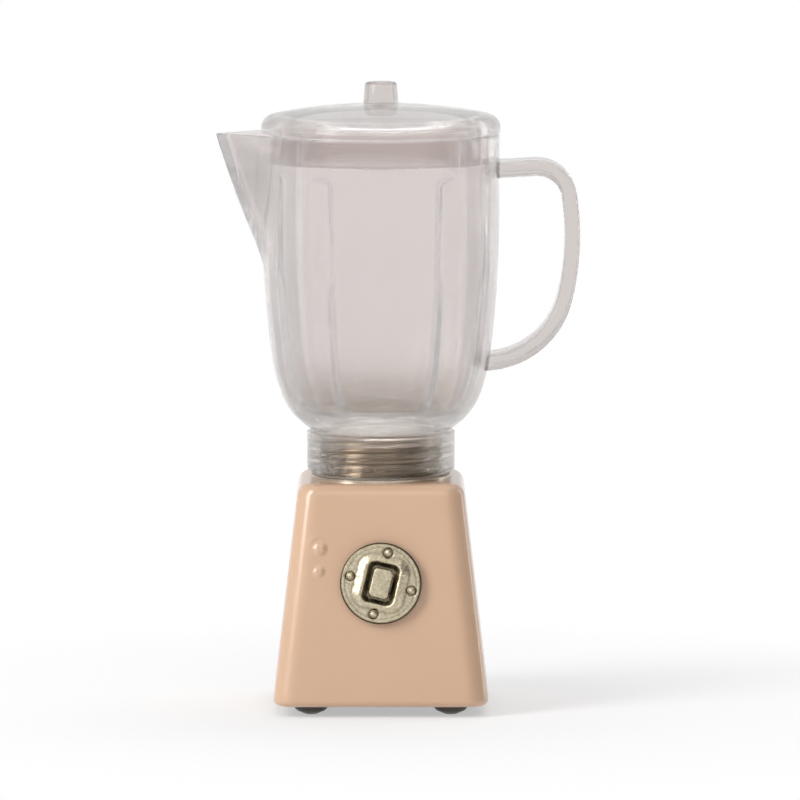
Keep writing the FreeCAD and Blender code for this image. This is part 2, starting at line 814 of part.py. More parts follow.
def make_jar_handle():
    outer, outer_root, outer_tail = handle_side(handle_thickness / 2)
    inner, inner_root, inner_tail = handle_side(-handle_thickness / 2)
    edges = outer + inner + [line(outer_root, inner_root), line(outer_tail, inner_tail)]
    face = Part.Face(Part.Wire(Part.sortEdges(edges)[0]))
    strip = face.extrude(FreeCAD.Vector(0, handle_width, 0))
    strip.translate(FreeCAD.Vector(0, -handle_width / 2, 0))
    long_edges = [e for e in strip.Edges if e.BoundBox.YLength < handle_width / 2]
    strip = strip.makeFillet(handle_edge_round, long_edges)
    return strip.cut(make_jar_outside())


def make_lid_cap():
    crown = FreeCAD.Vector(0, 0, lid_crown_height)
    edge_z = lid_bottom + lid_edge_height
    mid_r = lid_radius / 2
    mid_z = lid_crown_height - lid_dome_radius + math.sqrt(lid_dome_radius ** 2 - mid_r ** 2)
    edge = FreeCAD.Vector(lid_radius, 0, edge_z)
    low = FreeCAD.Vector(lid_radius, 0, lid_bottom)
    centre = FreeCAD.Vector(0, 0, lid_bottom)
    dome = Part.Arc(crown, FreeCAD.Vector(mid_r, 0, mid_z), edge).toShape()
    cap = spun([dome, line(edge, low), line(low, centre), line(centre, crown)])
    cap = cap.makeFillet(lid_shoulder_round, circles_at(cap, edge_z))
    skirt_low = lid_bottom - skirt_length
    skirt = cylinder(skirt_outer_radius, skirt_low, lid_bottom + 0.1)
    skirt = skirt.makeFillet(skirt_round, circles_at(skirt, skirt_low))
    inner = skirt_outer_radius - skirt_wall
    sag = lid_dome_radius - math.sqrt(lid_dome_radius ** 2 - inner ** 2)
    top = lid_crown_height - sag - lid_ceiling
    hollow = cylinder(inner, skirt_low - cut_over, top)
    hollow = hollow.makeFillet(lid_inner_round, circles_at(hollow, top))
    recess = cylinder(spigot_radius + press_gap, lid_crown_height - spigot_length - spigot_room, lid_crown_height + cut_over)
    return cap.fuse(skirt).cut([hollow, recess])


def make_lid_knob():
    top = lid_crown_height + knob_height
    knob = revolved([
        (0, lid_crown_height),
        (knob_bottom_radius, lid_crown_height),
        (knob_top_radius, top),
        (0, top),
    ])
    knob = knob.makeFillet(knob_round, circles_at(knob, top))
    spigot = cylinder(spigot_radius, lid_crown_height - spigot_length, lid_crown_height + 0.1)
    return knob.fuse(spigot)


def export(name, shape):
    shape = shape.copy()
    shape.translate(FreeCAD.Vector(frame_shift, 0, 0))
    shape.exportStep("parts/" + name + ".step")
    print(name, len(shape.Solids), "solids", round(shape.Volume, 3), "mm3", "ok" if shape.isValid() else "INVALID")


def main():
    os.makedirs("parts", exist_ok=True)
    export("base_housing", make_base_housing())
    export("bottom_plate", make_bottom_plate())
    for name, (x, y) in foot_places().items():
        export(name, make_foot(x, y))
    export("bottom_plate_screws", make_plate_screws())
    export("jar_boss", make_jar_boss())
    export("boss_washer", make_boss_washer())
    export("boss_screw", make_boss_screw())
    export("dial_washer", make_dial_washer())
    export("dial_plate", make_dial_plate())
    export("dial_rivets", make_dial_rivets())
    export("dial_retaining_ring", make_retaining_ring())
    export("dial_key", make_key())
    export("key_spring", make_key_spring())
    export("key_clip", make_key_clip())
    export("neck_seal", make_neck_seal())
    export("jar_bowl", make_jar_bowl())
    export("jar_handle", make_jar_handle())
    export("lid_cap", make_lid_cap())
    export("lid_knob", make_lid_knob())


main()
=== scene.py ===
import json
import math

import bpy
import numpy as np
from mathutils import Matrix, Vector


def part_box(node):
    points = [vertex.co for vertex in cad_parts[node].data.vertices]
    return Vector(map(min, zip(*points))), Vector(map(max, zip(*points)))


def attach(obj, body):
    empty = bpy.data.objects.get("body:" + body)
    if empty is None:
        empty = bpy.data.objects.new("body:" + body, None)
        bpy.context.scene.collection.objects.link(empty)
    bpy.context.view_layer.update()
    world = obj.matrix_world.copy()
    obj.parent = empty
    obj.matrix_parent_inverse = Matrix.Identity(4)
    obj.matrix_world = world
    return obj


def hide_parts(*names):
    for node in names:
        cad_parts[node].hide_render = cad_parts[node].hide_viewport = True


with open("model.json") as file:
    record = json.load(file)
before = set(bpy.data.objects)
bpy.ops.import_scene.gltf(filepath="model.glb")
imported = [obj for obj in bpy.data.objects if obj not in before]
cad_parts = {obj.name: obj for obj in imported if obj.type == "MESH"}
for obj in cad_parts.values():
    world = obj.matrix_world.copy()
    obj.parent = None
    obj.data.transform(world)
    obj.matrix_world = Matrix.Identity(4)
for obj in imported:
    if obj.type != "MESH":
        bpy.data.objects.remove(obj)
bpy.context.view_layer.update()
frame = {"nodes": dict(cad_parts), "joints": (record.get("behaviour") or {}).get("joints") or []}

# Sizes below are in millimetres, and meshes are made in metres.
MM = 0.001
TURN = 2 * math.pi


def span(node):
    """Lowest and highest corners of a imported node, in millimetres."""
    low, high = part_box(node)
    return low / MM, high / MM


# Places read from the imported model
housing_low, housing_high = span("base_housing")
boss_low, boss_high = span("jar_boss")
seal_low, seal_high = span("neck_seal")
jar_low, jar_high = span("jar_bowl")
knob_low, knob_high = span("lid_knob")
joints = {joint["name"]: joint for joint in frame["joints"]}
axis_x = (boss_low.x + boss_high.x) / 2
base_lift = housing_low.z
base_top = housing_high.z
boss_top = boss_high.z
neck_bottom = jar_low.z
jar_rim = jar_high.z

# Smallest ring of a skin, which a fan of faces closes
pole_ring = 0.5

# Base housing
base_bottom_half = 11.30
base_top_half = 8.60
base_corner = 2.2
base_least_corner = 0.25
base_top_round = 1.4
base_bottom_round = 0.7
base_lip_round = 0.15
base_inner_round = 0.4
base_wall = 1.2

# Blobs of thick paint as (sideways place, height, radius, rise), and the crease round the upper one
blobs = ((-6.34, 17.56, 0.80, 0.26), (-6.45, 15.18, 0.66, 0.20))
crease_reach = 1.25
crease_facing = 0.9
crease_width = 0.17
crease_spread = 0.75
crease_rise = 0.09

# Feet
foot_place = 7.3
foot_top = base_lift + 0.3
foot_radius = 2.05
foot_flat = 0.62
foot_shoulder = (1.62, 0.42)

# Thread that the boss and the jar share
thread_root = 5.95
thread_depth = 0.45
thread_pitch = 1.2
thread_root_width = 0.95
thread_crest_width = 0.3
thread_gap = 0.09
thread_lead_in = 0.25

# Boss
flange_radius = 7.35
flange_height = 0.3
flange_edge = 0.08
boss_chamfer = 0.45
dish_rim = 4.6
dish_floor = 4.3
dish_depth = 0.25

# Neck
neck_ceiling = boss_top + 1.0
neck_wall = 1.26
neck_radius = thread_root + thread_depth + thread_gap + neck_wall
neck_edge = 0.5
nub_rise = 0.32

# Jar, with its bowl's arcs as (radius, turn in degrees)
jar_radius = 12.44
jar_wall = 1.0
jar_straight_end = jar_rim - 8.91
bowl_arcs = ((107.1, 7.78), (17.69, 13.61), (7.18, 41.50))
jar_floor = neck_ceiling + 2.6
floor_corner_height = 0.55
floor_corner_width = 0.95
rim_round = 0.16
jar_row = 0.36

# Ribs inside the jar
rib_count = 10
rib_first = math.radians(-87.5)
rib_half_width = 2.2
rib_rise = 0.6
rib_top = jar_rim - 3.7
rib_end_round = 1.2

# Spout
spout_reach = jar_radius + 4.86
spout_root = jar_rim - 13.2
spout_bow = 102.0
spout_corner = 0.35
spout_inner_corner = 0.3
spout_wall = 0.95
spout_tuck = 0.93

# Handle
handle_reach = jar_radius + 8.4
handle_thickness = 1.6
handle_width = 6.2
handle_edge = 0.42
handle_arm_height = jar_rim - 3.69
handle_arm_tilt = math.radians(2.9)
handle_corner = 3.4
handle_back = 28.0
handle_back_height = jar_rim - 10.6
handle_low = 8.8
handle_low_height = jar_rim - 23.95
handle_tail_sink = 2.2
bond_gap = 0.02
bond_dark = 0.42

# Lid and knob
spigot_radius = 1.17
spigot_length = 0.45
spigot_room = 0.05
lid_radius = jar_radius + 0.11
lid_bottom = jar_rim + 0.05
lid_crown = knob_low.z + spigot_length
lid_dome = 58.8
lid_shoulder = 1.4
lid_ceiling = lid_bottom + 0.85
skirt_radius = jar_radius - jar_wall - 0.14
skirt_wall = 0.9
skirt_bottom = lid_bottom - 3.05
skirt_round = 0.3
knob_low_radius = 1.85
knob_high_radius = 1.66
knob_top = knob_high.z

# Dial, in its own frame with +Z outwards from the front face
dial_spin = math.radians(-13.5)
dial_radius = 4.25
dial_back = 0.17
dial_front = 0.77
dial_edge = 0.25
dial_back_edge = 0.08
dial_crown = 0.05
ridge_top = 1.17
ridge_half = (2.55, 2.65)
ridge_corner = 1.3
ridge_slope = (-0.66, 0.28)
well_half = (1.525, 2.1)
well_corner = 0.7
well_floor = 0.5
well_slope = (-0.38, 0.34)
rim_groove_inset = 0.52
rim_groove_width = 0.10
rim_groove_depth = 0.03
grain_height = 0.010
hub_radius = 1.6
hub_end = -1.85
spring_well_radius = 1.0
spring_well_floor = -1.0

# Rivets round the dial, each in a small moat
rivet_circle = 3.28
rivet_radius = 0.35
rivet_stem = 0.18
rivet_rise = 0.31
rivet_count = 4
moat_reach = 0.47
moat_width = 0.11
moat_depth = 0.09

# Key in the dial, with its shank and the groove for the clip
key_back = 0.9
key_top = 1.28
key_half = (1.0, 1.5)
key_corner = 0.45
key_edge = 0.16
shank_radius = 0.5
shank_tail = 0.3
clip_gap = 0.02
clip_thickness = 0.2
clip_groove = 0.12

# Clear plastic: a low index, and a share of light that passes straight through, keep its thin walls
# from looking like solid glass. Its tint deepens between two heights, towards the solid floor.
clear_ior = 1.38
clear_body = 0.7
thick_from = 38.0
thick_full = 29.5

# Studio, where a level of 1 is white
overhead_level = 0.85
side_level = 0.95
dark_side = (0.94, -0.34, 0.0)
dark_side_level = 0.30
ambient_light = (0.31, 0.31, 0.32, 1)
floor_half = 1500.0
floor_fade = (22.0, 70.0)
floor_least_white = 0.45
lamp_target = 33.0

# Camera
camera_distance = 1011.4
camera_elevation = math.radians(5.92)
camera_aim = Vector((axis_x + 2.0, 0, 32.2))
camera_lens = 433.4


# Meshes from rings


def smooth_max(a, b, blend):
    """Larger of two lengths, with the corner between them softened over the blend."""
    mix = np.clip(0.5 + 0.5 * (a - b) / blend, 0, 1)
    return b + (a - b) * mix + blend * mix * (1 - mix)


def smooth_step(low, high, value):
    """Share from 0 to 1 between two limits, level at both ends."""
    share = np.clip((value - low) / (high - low), 0, 1)
    return share * share * (3 - 2 * share)


def bell(away, width):
    """Smooth hump: 1 where away is 0, and nearly 0 two widths off."""
    return np.exp(-(away / width) ** 2)


def new_piece(name, verts, faces, material, sharp=50):
    """Smooth-shaded mesh object from points in millimetres, with its faces outwards."""
    verts = np.asarray(verts, float) * MM
    corners = np.array([(face[0], face[k], face[k + 1]) for face in faces for k in range(1, len(face) - 1)])
    p, q, r = (verts[corners[:, k]] for k in range(3))
    if np.einsum("ij,ij->i", p, np.cross(q, r)).sum() < 0:
        faces = [face[::-1] for face in faces]
    mesh = bpy.data.meshes.new(name)
    mesh.from_pydata(verts.tolist(), [], faces)
    mesh.update()
    mesh.shade_smooth()
    mesh.set_sharp_from_angle(angle=math.radians(sharp))
    mesh.materials.append(material)
    piece = bpy.data.objects.new(name, mesh)
    bpy.context.scene.collection.objects.link(piece)
    return piece


def ring_skin(rings, closed=False):
    """Points and faces of a skin through rings; its ends are closed by a middle point, or joined."""
    rings = [np.asarray(ring, float) for ring in rings]
    count = len(rings[0])
    verts = np.vstack(rings)
    here = np.arange(count)
    following = (here + 1) % count
    pairs = [(i, i + 1) for i in range(len(rings) - 1)]
    if closed:
        pairs.append((len(rings) - 1, 0))
    faces = []
    for low, high in pairs:
        low, high = low * count, high * count
        faces += np.stack([low + here, low + following, high + following, high + here], axis=1).tolist()
    if not closed:
        first, last = len(verts), len(verts) + 1
        verts = np.vstack([verts, rings[0].mean(0), rings[-1].mean(0)])
        top = (len(rings) - 1) * count
        faces += np.stack([following, here, np.full(count, first)], axis=1).tolist()
        faces += np.stack([top + here, top + following, np.full(count, last)], axis=1).tolist()
    return verts, faces


def round_path(corners, steps=6):
    """Path through (r, z, rounding) corners, with an arc at each corner that has a rounding."""
    path = []
    for index, (r, z, rounding) in enumerate(corners):
        here = np.array([r, z], float)
        if rounding <= 0 or index in (0, len(corners) - 1):
            path.append(here)
            continue
        before = np.array(corners[index - 1][:2], float) - here
        after = np.array(corners[index + 1][:2], float) - here
        before /= np.linalg.norm(before)
        after /= np.linalg.norm(after)
        half = math.acos(np.clip(before @ after, -1, 1)) / 2
        middle = here + (before + after) / np.linalg.norm(before + after) * rounding / math.sin(half)
        start = here + before * rounding / math.tan(half) - middle
        end = here + after * rounding / math.tan(half) - middle
        sweep = math.pi - 2 * half
        for step in range(steps + 1):
            share = step / steps
            arc = start * math.sin((1 - share) * sweep) + end * math.sin(share * sweep)
            path.append(middle + arc / math.sin(sweep))
    return path


def even_angles(count):
    return np.arange(count) * TURN / count


def round_ring(radius, z, angles):
    """Ring about an upright axis; radius and height are one number or one at each angle."""
    radius = np.broadcast_to(radius, angles.shape)
    z = np.broadcast_to(z, angles.shape)
    return np.stack([radius * np.cos(angles), radius * np.sin(angles), z], axis=1)


def on_jar_axis(rings):
    """Rings moved to the axis that the base and the jar share."""
    return [ring + np.array([axis_x, 0, 0]) for ring in rings]


def turned_rings(corners, columns):
    """Rings of a round piece from the corners of its outline."""
    return [round_ring(max(r, 0.02), z, even_angles(columns)) for r, z in round_path(corners)]


def slab_distance(x, y, half, corner):
    """Signed distance from a rounded rectangle's outline, negative inside it."""
    dx = np.abs(x) - half[0] + corner
    dy = np.abs(y) - half[1] + corner
    outside = np.hypot(np.maximum(dx, 0), np.maximum(dy, 0))
    return outside + np.minimum(np.maximum(dx, dy), 0) - corner


def slab_radius(angles, half, corner):
    """Distance from the middle to a rounded rectangle's outline, along each angle."""
    low = np.zeros_like(angles)
    high = np.full_like(angles, 2 * max(half))
    for _ in range(30):
        middle = (low + high) / 2
        inside = slab_distance(middle * np.cos(angles), middle * np.sin(angles), half, corner) < 0
        low = np.where(inside, middle, low)
        high = np.where(inside, high, middle)
    return low


def set_share(piece, name, shares):
    """Stores a share from 0 to 1 at each point, which a finish reads by its name."""
    layer = piece.data.attributes.new(name, "FLOAT", "POINT")
    layer.data.foreach_set("value", np.clip(shares, 0, 1).astype(np.float32))


def place_on(piece, body, nodes):
    """Gives a piece its body, and hides the nodes that it stands for."""
    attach(piece, body)
    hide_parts(*nodes)


# Materials


def linear(*levels):
    """Colour on a screen, from 0 to 255, as linear light with full alpha."""
    shares = [level / 255 for level in levels]
    return tuple(s / 12.92 if s <= 0.04045 else ((s + 0.055) / 1.055) ** 2.4 for s in shares) + (1.0,)


def add_node(tree, kind, **values):
    node = tree.nodes.new(kind)
    for name, value in values.items():
        setattr(node, name, value)
    return node


def add_range(tree, start, end, at_start=0.0, at_end=1.0, kind="SMOOTHSTEP"):
    """Node that turns values between two limits into values between two others."""
    node = add_node(tree, "ShaderNodeMapRange", interpolation_type=kind)
    limits = (("From Min", start), ("From Max", end), ("To Min", at_start), ("To Max", at_end))
    for label, value in limits:
        node.inputs[label].default_value = value
    return node


def join(tree, *pairs):
    for start, end in pairs:
        tree.links.new(start, end)


def make_mottle_group():
    """Noise between two limits, on the piece's own coordinates."""
    tree = bpy.data.node_groups.new("mottle", "ShaderNodeTree")
    for name, default in (("Scale", 500.0), ("Detail", 3.0), ("Low", 0.0), ("High", 1.0)):
        socket = tree.interface.new_socket(name, in_out="INPUT", socket_type="NodeSocketFloat")
        socket.default_value = default
    tree.interface.new_socket("Value", in_out="OUTPUT", socket_type="NodeSocketFloat")
    inputs = add_node(tree, "NodeGroupInput")
    outputs = add_node(tree, "NodeGroupOutput")
    place = add_node(tree, "ShaderNodeTexCoord")
    noise = add_node(tree, "ShaderNodeTexNoise")
    spread = add_range(tree, 0.12, 0.88, kind="LINEAR")
    join(
        tree,
        (place.outputs["Object"], noise.inputs["Vector"]),
        (inputs.outputs["Scale"], noise.inputs["Scale"]),
        (inputs.outputs["Detail"], noise.inputs["Detail"]),
        (noise.outputs["Fac"], spread.inputs["Value"]),
        (inputs.outputs["Low"], spread.inputs["To Min"]),
        (inputs.outputs["High"], spread.inputs["To Max"]),
        (spread.outputs["Result"], outputs.inputs["Value"]),
    )
    return tree


mottle_group = make_mottle_group()


def mottle(tree, scale, low=0.0, high=1.0, detail=3.0):
    """Mottled value between two limits, with a scale in waves to the metre."""
    node = add_node(tree, "ShaderNodeGroup", node_tree=mottle_group)
    for name, value in (("Scale", scale), ("Detail", detail), ("Low", low), ("High", high)):
        node.inputs[name].default_value = value
    return node.outputs["Value"]


def mix_colours(tree, share, first, second):
    """Colour between two others, each a plain colour or a node's output."""
    node = add_node(tree, "ShaderNodeMix", data_type="RGBA")
    tree.links.new(share, node.inputs["Factor"])
    for socket, colour in ((node.inputs[6], first), (node.inputs[7], second)):
        if isinstance(colour, tuple):
            socket.default_value = colour
        else:
            tree.links.new(colour, socket)
    return node.outputs[2]


def share_of(tree, name):
    """Share that the piece stores at each of its points."""
    return add_node(tree, "ShaderNodeAttribute", attribute_name=name).outputs["Fac"]


def new_material(name, **settings):
    """Material with a Principled shader, and that shader's plain settings."""
    material = bpy.data.materials.new(name)
    material.use_nodes = True
    tree = material.node_tree
    shader = tree.nodes["Principled BSDF"]
    for label, value in settings.items():
        shader.inputs[label.replace("_", " ")].default_value = value
    return material, tree, shader


def add_finish(tree, shader, tone, roughness, bumps):
    """Colour, roughness and a chain of bumps, each a (height, distance in millimetres, strength)."""
    join(tree, (tone, shader.inputs["Base Color"]), (roughness, shader.inputs["Roughness"]))
    normal = None
    for height, distance, strength in bumps:
        bump = add_node(tree, "ShaderNodeBump")
        bump.inputs["Distance"].default_value = distance * MM
        bump.inputs["Strength"].default_value = strength
        tree.links.new(height, bump.inputs["Height"])
        if normal:
            tree.links.new(normal, bump.inputs["Normal"])
        normal = bump.outputs["Normal"]
    tree.links.new(normal, shader.inputs["Normal"])


def make_enamel():
    """Thick glossy paint with slow waves and a little fine texture."""
    material, tree, shader = new_material(
        "peach_enamel", Coat_Weight=0.7, Coat_Roughness=0.09, Specular_IOR_Level=0.45
    )
    tone = mix_colours(tree, mottle(tree, 90, detail=1.0), linear(214, 178, 148), linear(210, 173, 142))
    waves = (mottle(tree, 190, detail=1.0), 0.10, 0.30)
    texture = (mottle(tree, 1500, detail=2.0), 0.008, 0.30)
    add_finish(tree, shader, tone, mottle(tree, 700, 0.26, 0.36), [waves, texture])
    return material


def thick_share(tree):
    """Share from 0 in the thin wall to 1 in the solid floor and the neck."""
    place = add_node(tree, "ShaderNodeTexCoord")
    split = add_node(tree, "ShaderNodeSeparateXYZ")
    depth = add_range(tree, thick_from * MM, thick_full * MM)
    join(tree, (place.outputs["Object"], split.inputs[0]), (split.outputs["Z"], depth.inputs["Value"]))
    return depth.outputs["Result"]


def make_clear(name, tint, wave_strength, thick=None, joint=None):
    """Clear moulded plastic: faint tint, with the slight waves and haze of a moulding.

    A thick tint deepens the colour towards the solid floor and the neck, and a joint
    tint darkens the ends where the piece is bonded on.
    """
    material, tree, shader = new_material(name, Transmission_Weight=1.0, IOR=clear_ior, Alpha=clear_body)
    deeper = tuple(level * 0.985 for level in tint[:3]) + (1.0,)
    tone = mix_colours(tree, mottle(tree, 120), tint, deeper)
    if thick:
        tone = mix_colours(tree, thick_share(tree), tone, thick)
    if joint:
        tone = mix_colours(tree, share_of(tree, "bonded"), tone, joint)
    waves = (mottle(tree, 260, detail=0.0), 0.05, wave_strength)
    add_finish(tree, shader, tone, mottle(tree, 900, 0.02, 0.06), [waves])
    return material


def make_metal(name, light, dark, roughness, grain_scale, grain_depth):
    """Bare or plated metal with a mottled tone and a fine grain."""
    material, tree, shader = new_material(name, Metallic=1.0)
    tone = mix_colours(tree, mottle(tree, grain_scale / 4), light, dark)
    grain = (mottle(tree, grain_scale), grain_depth, 0.6)
    add_finish(tree, shader, tone, mottle(tree, grain_scale / 2, *roughness), [grain])
    return material


def make_aged_nickel():
    """Cast metal with a sandy grain, bright on its high places and dark brown in its recesses, partly
    antique patina and partly painted shade.
    """
    material, tree, shader = new_material("aged_nickel", Metallic=1.0)
    grain = mix_colours(tree, mottle(tree, 3800), linear(250, 241, 216), linear(172, 158, 125))
    patchy = mix_colours(tree, mottle(tree, 900, 0.0, 0.35), grain, linear(146, 131, 98))
    # The recess share darkens the tone to dark brown: patina in the hollows, with painted shade in the key's
    # well, the rivets' moats, the disc's edge and the key's sides.
    tone = mix_colours(tree, share_of(tree, "recess"), patchy, linear(62, 47, 28))
    sand = (mottle(tree, 4200), 0.05, 0.8)
    pits = (mottle(tree, 1400), 0.06, 0.5)
    add_finish(tree, shader, tone, mottle(tree, 2600, 0.20, 0.44), [sand, pits])
    return material


def make_dull(name, light, dark, roughness, scale, depth):
    """Rubber, fibre or a dark plate."""
    material, tree, shader = new_material(name)
    tone = mix_colours(tree, mottle(tree, scale / 3), light, dark)
    add_finish(tree, shader, tone, mottle(tree, scale, *roughness), [(mottle(tree, scale), depth, 0.5)])
    return material


def make_milky_seal():
    """Soft milky plastic that lets some light through."""
    material, tree, shader = new_material("milky_seal", Transmission_Weight=0.6, IOR=1.42)
    tone = mix_colours(tree, mottle(tree, 600), linear(214, 208, 200), linear(196, 190, 182))
    add_finish(tree, shader, tone, mottle(tree, 900, 0.3, 0.5), [(mottle(tree, 1500), 0.01, 0.4)])
    return material


enamel = make_enamel()
clear_plastic = make_clear("clear_plastic", linear(226, 219, 217), 0.25, thick=linear(189, 179, 169))
clear_handle = make_clear("clear_handle", linear(190, 180, 176), 0.04, joint=linear(96, 84, 86))
clear_lid = make_clear("clear_lid", linear(235, 229, 226), 0.12)
silver = make_metal("silver_metal", linear(208, 198, 184), linear(168, 155, 138), (0.16, 0.30), 1800, 0.01)
aged_nickel = make_aged_nickel()
steel = make_metal("screw_steel", linear(190, 188, 184), linear(150, 148, 144), (0.25, 0.4), 2500, 0.01)
rubber = make_dull("foot_rubber", linear(104, 97, 90), linear(74, 69, 64), (0.28, 0.45), 1800, 0.02)
dark_plate = make_dull("dark_plate", linear(70, 66, 62), linear(52, 49, 47), (0.4, 0.6), 1200, 0.01)
fibre = make_dull("washer_fibre", linear(54, 45, 34), linear(38, 31, 24), (0.6, 0.8), 2400, 0.02)
milky_seal = make_milky_seal()


# Copies round a circle


def make_copies_tree():
    """Geometry nodes that set copies of a piece round a circle, as real geometry with one material."""
    tree = bpy.data.node_groups.new("copies_round_circle", "GeometryNodeTree")
    for name, kind in (
        ("Count", "NodeSocketInt"), ("Radius", "NodeSocketFloat"), ("Start", "NodeSocketFloat"),
        ("Piece", "NodeSocketObject"), ("Finish", "NodeSocketMaterial"),
    ):
        tree.interface.new_socket(name, in_out="INPUT", socket_type=kind)
    tree.interface.new_socket("Geometry", in_out="OUTPUT", socket_type="NodeSocketGeometry")
    inputs = add_node(tree, "NodeGroupInput")
    outputs = add_node(tree, "NodeGroupOutput")
    index = add_node(tree, "GeometryNodeInputIndex")
    share = add_node(tree, "ShaderNodeMath", operation="DIVIDE")
    angle = add_node(tree, "ShaderNodeMath", operation="MULTIPLY_ADD")
    angle.inputs[1].default_value = TURN
    cosine = add_node(tree, "ShaderNodeMath", operation="COSINE")
    sine = add_node(tree, "ShaderNodeMath", operation="SINE")
    unit = add_node(tree, "ShaderNodeCombineXYZ")
    reach = add_node(tree, "ShaderNodeVectorMath", operation="SCALE")
    points = add_node(tree, "GeometryNodePoints")
    source = add_node(tree, "GeometryNodeObjectInfo")
    copies = add_node(tree, "GeometryNodeInstanceOnPoints")
    real = add_node(tree, "GeometryNodeRealizeInstances")
    finish = add_node(tree, "GeometryNodeSetMaterial")
    join(
        tree,
        (index.outputs["Index"], share.inputs[0]),
        (inputs.outputs["Count"], share.inputs[1]),
        (share.outputs[0], angle.inputs[0]),
        (inputs.outputs["Start"], angle.inputs[2]),
        (angle.outputs[0], cosine.inputs[0]),
        (angle.outputs[0], sine.inputs[0]),
        (cosine.outputs[0], unit.inputs["X"]),
        (sine.outputs[0], unit.inputs["Y"]),
        (unit.outputs[0], reach.inputs[0]),
        (inputs.outputs["Radius"], reach.inputs["Scale"]),
        (inputs.outputs["Count"], points.inputs["Count"]),
        (reach.outputs[0], points.inputs["Position"]),
        (inputs.outputs["Piece"], source.inputs["Object"]),
        (points.outputs[0], copies.inputs["Points"]),
        (source.outputs["Geometry"], copies.inputs["Instance"]),
        (copies.outputs[0], real.inputs[0]),
        (real.outputs[0], finish.inputs["Geometry"]),
        (inputs.outputs["Finish"], finish.inputs["Material"]),
        (finish.outputs[0], outputs.inputs["Geometry"]),
    )
    return tree


copies_tree = make_copies_tree()


def copies_round(name, piece, count, radius, start, material, centre_x=0.0):
    """One mesh of equal copies of a piece, set round a circle; the piece itself is used up."""
    carrier = bpy.data.objects.new(name + "_carrier", bpy.data.meshes.new(name + "_carrier"))
    bpy.context.scene.collection.objects.link(carrier)
    modifier = carrier.modifiers.new("copies", "NODES")
    modifier.node_group = copies_tree
    values = {"Count": count, "Radius": radius * MM, "Start": start, "Piece": piece, "Finish": material}
    for item in copies_tree.interface.items_tree:
        if item.in_out == "INPUT":
            modifier[item.identifier] = values[item.name]
    bpy.context.view_layer.update()
    depsgraph = bpy.context.evaluated_depsgraph_get()
    mesh = bpy.data.meshes.new_from_object(carrier.evaluated_get(depsgraph))
    mesh.name = name
    mesh.transform(Matrix.Translation((centre_x * MM, 0, 0)))
    result = bpy.data.objects.new(name, mesh)
    bpy.context.scene.collection.objects.link(result)
    bpy.data.objects.remove(carrier)
    bpy.data.objects.remove(piece)
    return result


# Base


def base_half_at(z):
    """Half the base's width at one height."""
    return base_bottom_half + (base_top_half - base_bottom_half) * (z - base_lift) / (base_top - base_lift)


def side_shares():
    """Places along one flat side, as shares of it, closer together where the blobs of paint are."""
    coarse = np.linspace(-1, 1, 15)[:-1]
    fine = np.linspace(-0.998, -0.72, 24)
    return np.unique(np.concatenate([coarse, fine]))


def side_heights():
    """Heights of the rows down the side, closer together beside the blobs of paint."""
    above = np.linspace(22, 19, 4)
    beside = np.arange(18.8, 13.9, -0.13)
    below = np.linspace(13, 3, 8)
    return np.concatenate([above, beside, below])


def square_ring(half, z, corner, arc_steps=12):
    """Rounded square at one height, from the front left corner along the front and round."""
    flat = half - corner
    shares = side_shares()
    ring = []
    for quarter in range(4):
        turn = quarter * math.pi / 2
        across = np.array([math.cos(turn), math.sin(turn)])
        out = np.array([math.sin(turn), -math.cos(turn)])
        for share in shares:
            ring.append(across * share * flat + out * half)
        for step in range(arc_steps):
            bend = math.pi / 2 * step / arc_steps
            ring.append((across + out) * flat + (out * math.cos(bend) + across * math.sin(bend)) * corner)
    ring = np.array(ring)
    return np.column_stack([ring, np.full(len(ring), z)])


def paint_lift(x, z):
    """How far the blobs of paint, and the crease round the upper one, stand out of the front."""
    lift = np.zeros_like(x)
    for blob_x, blob_z, radius, rise in blobs:
        away = np.hypot(x - blob_x, z - blob_z)
        lift += rise * (1 - smooth_step(0.30 * radius, 1.12 * radius, away))
    upper_x, upper_z = blobs[0][:2]
    away = np.hypot(x - upper_x, z - upper_z)
    facing = np.arctan2(z - upper_z, upper_x - x)
    crease = bell(away - crease_reach, crease_width) * bell(facing - crease_facing, crease_spread)
    return lift + crease_rise * crease


def build_housing():
    """Hollow shell, skinned from the middle of its top down the outside and back up the inside."""
    ceiling = base_top - base_wall
    outline = [
        (pole_ring, base_top, 0),
        (base_half_at(base_top), base_top, base_top_round),
        (base_half_at(base_lift), base_lift, base_bottom_round),
        (base_half_at(base_lift) - base_wall, base_lift, base_lip_round),
        (base_half_at(ceiling) - base_wall, ceiling, base_inner_round),
        (pole_ring, ceiling, 0),
    ]
    path = round_path(outline, steps=12)
    rows = []
    for (half, z), (next_half, next_z) in zip(path, path[1:]):
        rows.append((half, z))
        outer_side = z - next_z > base_wall
        if outer_side:
            slope = (next_half - half) / (next_z - z)
            rows += [(half + slope * (row - z), row) for row in side_heights() if next_z < row < z]
    rows.append(path[-1])
    rings = []
    for half, z in rows:
        inset = max(base_half_at(z) - half, 0)
        ring = square_ring(half, z, min(max(base_corner - inset, base_least_corner), half * 0.9))
        on_front = ring[:, 1] < -base_half_at(z) + 0.05
        ring[:, 1] -= np.where(on_front, paint_lift(ring[:, 0], ring[:, 2]), 0)
        rings.append(ring)
    piece = new_piece("base_housing_skin", *ring_skin(on_jar_axis(rings)), enamel, 60)
    place_on(piece, "base", ["base_housing"])


def build_feet():
    """Four domed bumpers, copied round the base's axis."""
    outline = [
        (0, 0, 0), (foot_flat, 0, 0.3), (*foot_shoulder, 0.7),
        (foot_radius - 0.05, foot_top - 0.1, 0.2), (foot_radius, foot_top, 0), (0, foot_top, 0),
    ]
    foot = new_piece("foot", *ring_skin(turned_rings(outline, 64)), rubber)
    feet = copies_round("feet", foot, 4, foot_place * math.sqrt(2), math.pi / 4, rubber, axis_x)
    corners = ("front_left", "front_right", "rear_left", "rear_right")
    place_on(feet, "base", ["foot_" + corner for corner in corners])


